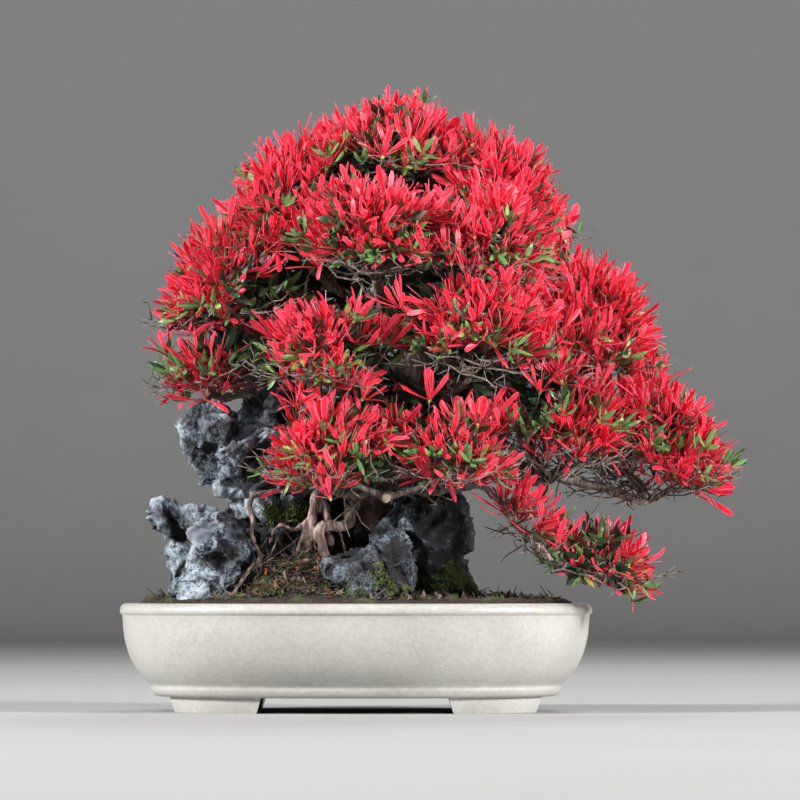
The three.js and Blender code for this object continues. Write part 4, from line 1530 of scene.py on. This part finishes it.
# The feet and axes of a cloud's flowers, spread evenly over its dome
def flowersOf(name, chance):
    cloud = cloudShape[name]
    at, size, sides = cloudFrame(name)
    power = 1.6  # for the area of an ellipsoid
    caps = (size[0] * size[1]) ** power + (size[0] * size[2]) ** power + (size[1] * size[2]) ** power
    area = 2 * math.pi * (caps / 3) ** (1 / power)
    count = int(area / flowerShape["space"])
    i = np.arange(count)
    bare = cloud["bare"]
    goldenTurn = math.pi * (3 - math.sqrt(5))
    rise = 1.0 - (1 - bare) * (i + 0.5) / count + chance.normal(0, 0.02, count)
    turn = i * goldenTurn + chance.normal(0, 0.12, count)
    flat = np.sqrt(np.clip(1 - rise ** 2, 0, 1))
    onBall = np.c_[flat * np.cos(turn), flat * np.sin(turn), rise]
    outward = unit(onBall / size) @ sides
    hanging = (chance.uniform(0, 1, count) < flowerShape["hanging"]) & (rise < bare + 0.25)
    upward = np.where(hanging, 0.0, 0.65)[:, None] * [0, 0, 1.0]
    axes = unit(outward + upward + chance.normal(0, 0.24, (count, 3)))
    ways = (onBall * size) @ sides
    lengths = np.linalg.norm(ways, axis=1)
    ends = outTo(at, unit(ways), lengths)
    ends = ends * (0.97 + 0.10 * noiseAt(at + ways, 30, 9)) * chance.uniform(0.84, 1.03, count)
    tips = at + ways * ends[:, None]
    feet = tips - axes * flowerShape["reach"]
    middles = tips - axes * 12
    keep = isFree(name, middles, 0.9) & ~isShaded(name, middles) & ~inGap(middles)
    keep &= (middles - at) @ sides[2] > 0
    keep &= chance.uniform(0, 1, count) < cloud.get("bloom", 1)
    feet, axes = feet[keep], axes[keep]
    if name == "drooping_right":
        feet, axes = lineDroopingBranch(feet, axes, chance)
    for foot, axis in cloud.get("more", []):
        feet, axes = np.vstack([feet, foot]), np.vstack([axes, unit(axis)])
    return feet, axes


def makeFlowers(name, seed):
    chance = np.random.default_rng(seed)
    feet, axes = flowersOf(name, chance)
    count = len(feet)
    first = chance.uniform(0, 2 * math.pi, count)
    wide = chance.uniform(0, 1, count) < flowerShape["wide"]["share"]
    openness = chance.uniform(0.75, 1.15, count)
    start = anyAcross(axes)
    tone = 0.25 + 0.5 * np.clip(0.5 + noiseAt(feet, 22, 12), 0, 1)  # flowers side by side share a shade

    each = flowerShape["petals"]
    many = count * each
    which = np.repeat(np.arange(count), each)
    turn = first[which] + np.tile(np.arange(each), count) * 2 * math.pi / each
    turn = turn + chance.normal(0, 0.25, many)
    opened = chance.uniform(*flowerShape["open"], many) * openness[which]
    opened = np.where(wide[which], flowerShape["wide"]["open"], opened)
    outward, along = openedWays(axes[which], start[which], turn, opened)
    lengths = chance.uniform(*flowerShape["length"], many)
    wider = np.where(wide[which], flowerShape["wide"]["width"], 1.0)
    petals = placeBlades(
        petalBlade,
        feet[which] + outward * 1.1,
        along,
        np.cross(axes[which], outward),
        lengths,
        chance.uniform(*flowerShape["halfWidth"], many) * wider,
        flowerShape["thickness"],
        chance.normal(-0.3, 0.55, many),
        chance.normal(0, 0.5, many),
        np.clip(tone[which] + chance.normal(0, 0.2, many), 0, 1),
    )

    # four stamens and the style
    each = flowerShape["threads"]
    many = count * each
    which = np.repeat(np.arange(count), each)
    turn = first[which] + np.tile(np.arange(each), count) * 1.3 + chance.normal(0, 0.3, many)
    opened = chance.uniform(0.1, 0.75, many)
    outward, along = openedWays(axes[which], start[which], turn, opened)
    threads = placeBlades(
        stamenBlade,
        feet[which],
        along,
        np.cross(axes[which], outward),
        chance.uniform(*flowerShape["threadLength"], many),
        flowerShape["threadRadius"],
        flowerShape["threadRadius"],
        chance.normal(0.15, 0.4, many),
        0,
        chance.uniform(0, 1, many),
        material=1,
    )
    radius = flowerShape["calyxRadius"]
    tints = chance.uniform(0, 1, count)
    below = feet - axes * 3.0
    calyxes = placeBlades(
        calyxBlade, below, axes, start, flowerShape["calyxLength"], radius, radius, 0, 0, tints, material=2
    )
    piece = growPiece("flowers_" + name, [petals, threads, calyxes], (petalRed, stamenPink, calyxGreen))
    handOver(piece, "petals", "blooms_" + name)
    return feet, axes


# Whorls of leaves: round each point, opened from its axis
def whorls(points, axes, chance, opening, tints, size=1.0, blade=leafBlade, leaves=4):
    count = len(points)
    many = count * leaves
    which = np.repeat(np.arange(count), leaves)
    start = anyAcross(axes)
    turn = np.tile(np.arange(leaves), count) * 2 * math.pi / leaves + chance.uniform(0, 6.3, count)[which]
    turn = turn + chance.normal(0, 0.25, many)
    opened = chance.normal(opening, 0.22, many)
    outward, along = openedWays(axes[which], start[which], turn, opened)
    return placeBlades(
        blade,
        points[which] + outward * 0.8,
        along,
        np.cross(axes[which], outward),
        chance.uniform(*leafShape["length"], many) * size,
        chance.uniform(*leafShape["halfWidth"], many) * size,
        leafShape["thickness"],
        chance.normal(-0.35, 0.3, many),
        chance.normal(0, 0.25, many),
        np.repeat(tints, leaves) + chance.normal(0, 0.06, many),
    )


def makeLeaves(name, seed, flowerFeet, flowerAxes):
    chance = np.random.default_rng(seed + 100)
    at, size, sides = cloudFrame(name)
    bare, bloom = cloudShape[name]["bare"], cloudShape[name].get("bloom", 1)

    # whorls between the flowers, more of them where flowers are few
    pick = chance.uniform(0, 1, len(flowerFeet)) < leafShape["beside"] + 1.5 * (1 - bloom)
    count = pick.sum()
    feet = flowerFeet[pick] + flowerAxes[pick] * chance.uniform(-6, 14, (count, 1))
    feet = feet + chance.normal(0, 6, (count, 3))
    tints = np.clip(chance.normal(0.6, 0.2, count), 0.2, 0.92)
    sets = [whorls(feet, flowerAxes[pick], chance, 1.0, tints)]

    # whorls round the hem
    count = int((size[0] + size[1]) / leafShape["hemSpace"])
    turn = np.linspace(0, 2 * math.pi, count, endpoint=False) + chance.normal(0, 0.1, count)
    reach = chance.uniform(0.5, 0.95, count)
    onBall = np.c_[np.cos(turn) * reach, np.sin(turn) * reach, bare + chance.uniform(-0.08, 0.16, count)]
    fringe = at + (onBall * size) @ sides
    axes = unit(unit(onBall) @ sides + chance.normal(0, 0.25, (count, 3)) + [0, 0, 0.1])
    keep = isFree(name, fringe, 0.7)
    tints = np.clip(chance.normal(0.6, 0.18, count), 0.25, 0.92)
    if keep.any():
        sets.append(whorls(fringe[keep], axes[keep], chance, 0.85, tints[keep]))

    # leaves with a tint that paints them dark as shade fill the inside
    count = int(size[0] * size[1] / leafShape["insideSpace"])
    ball = unit(chance.normal(0, 1, (count, 3))) * chance.uniform(0.25, 0.66, (count, 1))
    ball[:, 2] = bare + np.abs(ball[:, 2]) * (1 - bare)
    inside = at + (ball * size) @ sides
    axes = unit(unit(ball) @ sides + chance.normal(0, 0.5, (count, 3)))
    keep = isFree(name, inside, 0.6)
    tints = chance.uniform(0.0, 0.22, count)
    if keep.any():
        sets.append(whorls(inside[keep], axes[keep], chance, 1.2, tints[keep], 1.5, shadeLeafBlade))
    piece = growPiece("leaves_" + name, sets, (leafGreen,))
    handOver(piece, "leaves", "spray_" + name)


# Radii in millimetres. Branches that lie open to view have more shoots than those inside
twigShape = {
    "mains": 10,
    "joints": 4,
    "mainRadius": 2.5,
    "taper": 0.42,
    "sideShare": 0.8,
    "sideRadius": 1.2,
    "tipRadius": 0.9,
    "forkRadius": 0.65,
    "shootRadii": (1.25, 0.95),
    "stalkRadius": 0.8,
    "open": ("arm", "drooping", "front_low", "front_mid"),
    "shootsOpen": 34,
    "shootsInside": 14,
}


# Twigs fork from the end of the branch out to the hem, as a mat under the flowers
def makeTwigs(name, seed, flowerFeet, flowerAxes):
    chance = np.random.default_rng(seed + 200)
    at, size, sides = cloudFrame(name)
    hub = at - woodShape["hubDrop"] * sides[2]
    bent, straight, knots = [], [], []
    bare = cloudShape[name]["bare"]
    mains, joints = twigShape["mains"], twigShape["joints"]

    # a short fork at a foot, near the given way
    def addFork(foot, way, sway, longest):
        fork = unit(way + chance.normal(0, sway, 3) + [0, 0, 0.3])
        straight.append((foot, foot + fork * chance.uniform(8, longest), twigShape["forkRadius"]))

    for k in range(mains):
        turn = (k + chance.uniform(-0.3, 0.3)) * 2 * math.pi / mains
        start = hub
        far = chance.uniform(0.74, 0.9)
        for step in range(1, joints + 1):
            reach = far * step / joints
            turn += chance.uniform(-0.22, 0.22)
            rise = chance.uniform(-0.05, 0.05) + bare * (0.1 + reach * chance.uniform(0.1, 0.8))
            local = np.array([math.cos(turn) * reach, math.sin(turn) * reach, rise])
            joint = at + (local * size) @ sides
            bent.append((start, joint, twigShape["mainRadius"] - twigShape["taper"] * step))
            knots.append(joint)
            for side in (-1, 1):
                if chance.uniform() < twigShape["sideShare"]:
                    swing = turn + side * chance.uniform(0.5, 1.0)
                    way = unit([math.cos(swing), math.sin(swing), chance.uniform(-0.15, 0.5)]) @ sides
                    length = chance.uniform(13, 23)
                    elbow = joint + way * length
                    tip = elbow + unit(way + chance.normal(0, 0.45, 3) + [0, 0, 0.25]) * length * 0.8
                    bent.append((joint, elbow, twigShape["sideRadius"]))
                    straight.append((elbow, tip, twigShape["tipRadius"]))
                    for foot in (elbow, tip):
                        knots.append(foot)
                        addFork(foot, way, 0.7, 15)
            start = joint

    # shoots along the branch itself
    line = branchLine(name, trunkPoints)[0] if name != "crown" else trunkPoints[-12:]
    shoots = twigShape["shootsOpen"] if name.startswith(twigShape["open"]) else twigShape["shootsInside"]
    for place in chance.uniform(0.4, 0.97, shoots):
        start = line[int(place * (len(line) - 1))]
        way = unit(chance.normal(0, 1, 3) * (1, 1, 0.4) + [0, 0, 0.35])
        elbow = start + way * chance.uniform(12, 26)
        tip = elbow + unit(way + chance.normal(0, 0.5, 3) + [0, 0, 0.3]) * chance.uniform(10, 20)
        lower, upper = twigShape["shootRadii"]
        bent += [(start, elbow, lower), (elbow, tip, upper)]
        for foot in (elbow, tip):
            addFork(foot, way, 0.8, 16)
        knots += [elbow, tip]

    # a stalk from the nearest knot to each flower
    knots = np.array(knots)
    for foot, axis in zip(flowerFeet, flowerAxes):
        near = knots[np.argmin(np.linalg.norm(knots - foot, axis=1))]
        within = np.linalg.norm(near - foot) < 26
        straight.append((near if within else foot - axis * 15, foot, twigShape["stalkRadius"]))
    sets = []
    for blade, rows in ((twigBlade, bent), (shootBlade, straight)):
        starts, ends, radii = (np.array(column) for column in zip(*rows))
        sets.append(placeRods(blade, starts, ends, radii, chance.uniform(0, 1, len(rows))))
    piece = growPiece("twigs_" + name, sets, (twigBark,), crisp=False)
    handOver(piece, "bark")


# How many leaf whorls, painted dark as shade, stand round the trunk, along each inner branch, in each gap
# and low behind the trunk, and how far out they reach
heartShape = {
    "trunk": 135,
    "trunkReach": 66,
    "branch": 11,
    "branchReach": 34,
    "gapArea": 45,
    "gapReach": 8,
    "low": 44,
    "lowMiddle": (-36, 50, 199),
    "lowSpread": (13, 5, 7),
    "lowReach": 6,
    "bareClouds": ("crown", "drooping", "front_low", "arm_right", "wing_low"),
    "lowKept": 38,
    # no other whorls under the tree, out at its right end, or low over the stones at the left
    "lowest": 214,
    "rightEnd": 190,
    "overStones": (-60, 330),
    # every one of these leaves gets a tint that paints it dark as shade
    "tint": 0.05,
    "size": 1.45,
}


# Leaves painted dark as shade round the trunk and the branches close the view through the tree
def makeHeartLeaves():
    chance = np.random.default_rng(300)
    shape = heartShape
    last = len(trunkPoints) - 1
    middles = [trunkPoints[int(place * last)] for place in chance.uniform(0.12, 0.92, shape["trunk"])]
    reach = [shape["trunkReach"]] * shape["trunk"]
    for name in cloudShape:
        if not name.startswith(shape["bareClouds"]):
            line = branchLine(name, trunkPoints)[0]
            for place in chance.uniform(0.3, 1, shape["branch"]):
                middles.append(line[int(place * (len(line) - 1))])
                reach.append(shape["branchReach"])
    for x, z, halfX, halfZ in gapShape:
        for _ in range(int(halfX * halfZ / shape["gapArea"]) if x > -70 else 0):
            spot = chance.uniform(-1, 1, 2)
            middles.append(np.array([x + halfX * spot[0], chance.uniform(22, 52), z + halfZ * spot[1]]))
            reach.append(shape["gapReach"])
    low = shape["lowMiddle"]
    middles += list(chance.normal(0, 1, (shape["low"], 3)) * shape["lowSpread"] + low)
    reach += [shape["lowReach"]] * shape["low"]
    count = len(middles)
    turn = chance.uniform(0, 2 * math.pi, count)
    ways = np.c_[np.cos(turn), 0.7 * np.sin(turn), chance.normal(0, 0.3, count)]
    feet = np.array(middles) + ways * (np.array(reach) * chance.uniform(0.3, 1, count))[:, None]
    left, high = shape["overStones"]
    keep = ~inGap(feet) & (feet[:, 2] > shape["lowest"]) & (feet[:, 0] < shape["rightEnd"])
    keep &= (feet[:, 0] > left) | (feet[:, 2] > high)
    keep |= np.linalg.norm(feet - low, axis=1) < shape["lowKept"]
    feet, ways = feet[keep], unit(ways)[keep]
    tints = np.full(len(feet), shape["tint"])
    heart = whorls(feet, ways, chance, 1.2, tints, shape["size"], shadeLeafBlade, 5)
    piece = growPiece("leaves_heart", [heart], (leafGreen,))
    handOver(piece, "leaves")


flowerCount = 0
for seed, name in enumerate(cloudShape, 11):
    feet, axes = makeFlowers(name, seed)
    flowerCount += len(feet)
    makeLeaves(name, seed, feet, axes)
    makeTwigs(name, seed, feet, axes)
makeHeartLeaves()
print("leaves, twigs and", flowerCount, "flowers made")


# What lies on the ground, in millimetres: scraps of leaves, bits of twig and fibre, and tufts of moss, a
# share of them heaped (middle and spread across, range along the front)
coverShape = {
    "scraps": 800,
    "scrapLength": (5, 12),
    "scrapHalfWidth": (1.5, 2.8),
    "scrapThickness": 0.4,
    "bits": 1150,
    "bitLength": (6, 20),
    "bitRadius": (0.4, 0.9),
    "tufts": 170,
    "hairs": 6,
    "hairLength": (2.5, 6),
    "hairRadius": (0.35, 0.7),
    "reach": (205, 150),
    "heaped": 0.4,
    "heapAcross": (-52, 32),
    "heapFront": (-128, -76),
}


# Points all over the ground, some of them on the front of the heap at the roots
def groundPoints(count, chance):
    shape = coverShape
    turn = chance.uniform(0, 2 * math.pi, count)
    out = np.sqrt(chance.uniform(0, 1, count)) * 0.95
    heaped = chance.uniform(0, 1, count) < shape["heaped"]
    halfLength, halfWidth = shape["reach"]
    x = np.where(heaped, chance.normal(*shape["heapAcross"], count), np.cos(turn) * out * halfLength)
    y = np.where(heaped, chance.uniform(*shape["heapFront"], count), np.sin(turn) * out * halfWidth)
    return np.c_[x, y, bankHeight(x, y) + 1.0]


# Ways that lie nearly flat
def lyingWays(count, chance, lift):
    return unit(chance.normal(0, 1, (count, 3)) * (1, 1, lift) + [0, 0, 0.05])


def makeCover():
    chance = np.random.default_rng(77)
    shape = coverShape
    count = shape["scraps"]
    feet = groundPoints(count, chance)
    ways = lyingWays(count, chance, 0.12)
    scraps = placeBlades(
        shadeLeafBlade,
        feet,
        ways,
        np.cross(ways, [0, 0, 1.0]) + chance.normal(0, 0.4, (count, 3)),
        chance.uniform(*shape["scrapLength"], count),
        chance.uniform(*shape["scrapHalfWidth"], count),
        shape["scrapThickness"],
        chance.normal(0.6, 0.8, count),
        chance.normal(0, 0.9, count),
        chance.uniform(0.2, 1, count),
    )
    feet = groundPoints(shape["bits"], chance)
    ways = lyingWays(shape["bits"], chance, 0.14)
    length, radius = shape["bitLength"], shape["bitRadius"]
    bits = scatterStrands(shootBlade, feet, ways, chance, length, radius, 0.5, (0, 0.6))
    litter = growPiece("groundLitter", [scraps, bits], (leafLitter,))
    handOver(litter, "soil")

    feet = np.repeat(groundPoints(shape["tufts"], chance), shape["hairs"], axis=0)
    feet = feet + chance.normal(0, 2.2, feet.shape) * (1, 1, 0.3)
    ways = unit(chance.normal(0, 0.5, feet.shape) + [0, 0, 1.0])
    length, radius = shape["hairLength"], shape["hairRadius"]
    hairs = scatterStrands(hairBlade, feet, ways, chance, length, radius, 0.8, (0, 1))
    moss = growPiece("mossTufts", [hairs], (mossGreen,))
    handOver(moss, "soil")


# Moss that stands on the stones. A cushion: its middle across and up, half width, half height, tufts
stoneMoss = {
    "cushions": {
        "high": (-62, 186, 22, 9, 90),
        "right": (70, 116, 24, 12, 50),
        "front": (24, 124, 12, 9, 30),
    },
    "hairs": 4,
    "hairLength": (3, 6.5),
    "hairRadius": (0.4, 0.8),
}


def makeStoneMoss():
    chance = np.random.default_rng(83)
    feet, outward = [], []
    for side, (x, z, halfX, halfZ, tufts) in stoneMoss["cushions"].items():
        stone = bpy.data.objects["crustedStone_" + side]
        for _ in range(tufts):
            across, up = chance.normal(0, 0.55, 2)
            start = Vector((x + halfX * across, -250, z + halfZ * up)) * mm + Vector(potMiddle)
            found, place, normal, _ = stone.ray_cast(start, (0, 1, 0))
            if found:
                feet.append((np.array(place) - potMiddle) / mm)
                outward.append(normal)
    feet = np.repeat(np.array(feet), stoneMoss["hairs"], axis=0)
    feet = feet + chance.normal(0, 1.8, feet.shape) * (1, 0.3, 1)
    outward = np.repeat(np.array(outward), stoneMoss["hairs"], axis=0)
    ways = unit(outward + [0, 0, 0.5] + chance.normal(0, 0.5, feet.shape))
    length, radius = stoneMoss["hairLength"], stoneMoss["hairRadius"]
    hairs = scatterStrands(hairBlade, feet, ways, chance, length, radius, 0.8, (0.2, 1))
    moss = growPiece("stoneMoss", [hairs], (mossGreen,))
    handOver(moss, "soil")


# Where the rootlets start, how thick they are there, how they thin at each step, and where they end
rootletShape = {
    "count": 22,
    "across": (-86, -14),
    "front": -80,
    "height": (140, 176),
    "radius": (0.5, 1.2),
    "thinning": 0.93,
    "step": (5, 9),
    "farthest": -112,
    "lowest": 108,
}


# Thin rootlets that hang and creep over the bank in front of the trunk
def makeRootlets():
    chance = np.random.default_rng(91)
    shape = rootletShape
    starts, ends, radii = [], [], []
    for _ in range(shape["count"]):
        x = chance.uniform(*shape["across"])
        y = shape["front"] + chance.uniform(-6, 4)
        place = np.array([x, y, chance.uniform(*shape["height"])])
        thick = chance.uniform(*shape["radius"])
        drift = chance.uniform(-0.6, 0.6)
        while place[2] > bankHeight(place[0], place[1]) + 2:
            drift += chance.uniform(-0.5, 0.5)
            step = np.array([drift, chance.uniform(-0.7, 0.1), -1.0]) * chance.uniform(*shape["step"])
            starts.append(place)
            place = place + step
            ends.append(place)
            radii.append(thick)
            thick *= shape["thinning"]
            if place[1] < shape["farthest"] or place[2] < shape["lowest"]:
                break
    starts, ends, radii = np.array(starts), np.array(ends), np.array(radii)
    tints = chance.uniform(0.1, 0.7, len(starts))
    strands = placeRods(shootBlade, starts, ends, radii, tints, 1.06)
    rootlets = growPiece("rootlets", [strands], (leafLitter,), crisp=False)
    handOver(rootlets, "soil")


makeCover()
makeStoneMoss()
makeRootlets()
print("ground cover made")


# The studio, in metres: a pale floor that curves up behind, soft lights and a long lens at the pot's rim
studio = {
    "look": (-0.032, 0, 0.296),
    "from": (-0.032, -5.0, 0.12),
    "lens": 236,
    "floorSize": 19,
    "floorShift": -1.5,
    "wallHeight": 4,
    "curve": 1.6,
    "papers": ((0.335, 0.335, 0.335), (0.35, 0.35, 0.345)),
    "air": (0.82, 0.86, 0.92),
    "airStrength": 0.10,
    # place, size and power
    "lights": {
        "leftLight": ((-3.9, -1.7, 1.9), 1.0, 345),
        "rightLight": ((3.9, -2.1, 1.5), 1.0, 365),
        "frontLight": ((-1.2, -4.8, 2.6), 1.8, 32),
        "rimLight": ((0.8, 2.4, 2.8), 1.6, 50),
    },
    "lightsLook": (0, 0, 0.3),
}


def aimAt(piece, target):
    piece.rotation_euler = (Vector(target) - piece.location).to_track_quat("-Z", "Y").to_euler()


def addLight(name, place, size, power):
    light = bpy.data.lights.new(name, "AREA")
    light.shape = "DISK"
    light.size = size
    light.energy = power
    lamp = bpy.data.objects.new(name, light)
    lamp.location = place
    bpy.context.scene.collection.objects.link(lamp)
    aimAt(lamp, studio["lightsLook"])


def makeFloor():
    deselectAll()
    bpy.ops.mesh.primitive_plane_add(size=studio["floorSize"], location=(0, studio["floorShift"], 0))
    floor = bpy.context.object
    floor.name = "studioFloor"
    applyPlace(floor)
    backEdge = studio["floorSize"] / 2 + studio["floorShift"] - 0.01
    for edge in floor.data.edges:
        edge.select = min(floor.data.vertices[i].co.y for i in edge.vertices) > backEdge
    bpy.ops.object.mode_set(mode="EDIT")
    bpy.ops.mesh.select_mode(type="EDGE")
    extrudeBy(0, 0.01, studio["wallHeight"])
    bpy.ops.mesh.select_mode(type="VERT")
    closeEdit()
    curved = floor.modifiers.new("curved", "BEVEL")
    curved.width = studio["curve"]
    curved.segments = 12
    curved.limit_method = "ANGLE"
    applyModifiers(floor)
    shadeSmooth(floor)
    finish, tree, shader, place = startMaterial("studioPaper")
    colour = mixColours(tree, patches(tree, place, 3, 0.3, 0.7, 2), *studio["papers"])
    tree.links.new(colour, shader.inputs["Base Color"])
    shader.inputs["Roughness"].default_value = 0.9
    giveMaterials(floor, finish)


def makeStudio():
    makeFloor()
    scene = bpy.context.scene
    scene.world = bpy.data.worlds.new("studioAir")
    scene.world.use_nodes = True
    air = scene.world.node_tree.nodes["Background"]
    air.inputs[0].default_value = (*studio["air"], 1)
    air.inputs[1].default_value = studio["airStrength"]
    for name, (place, size, power) in studio["lights"].items():
        addLight(name, place, size, power)

    view = bpy.data.cameras.new("camera")
    view.lens = studio["lens"]
    view.clip_end = 50
    camera = bpy.data.objects.new("camera", view)
    camera.location = studio["from"]
    scene.collection.objects.link(camera)
    aimAt(camera, studio["look"])
    scene.camera = camera
    scene.view_settings.view_transform = "Standard"


makeStudio()
print("studio made")
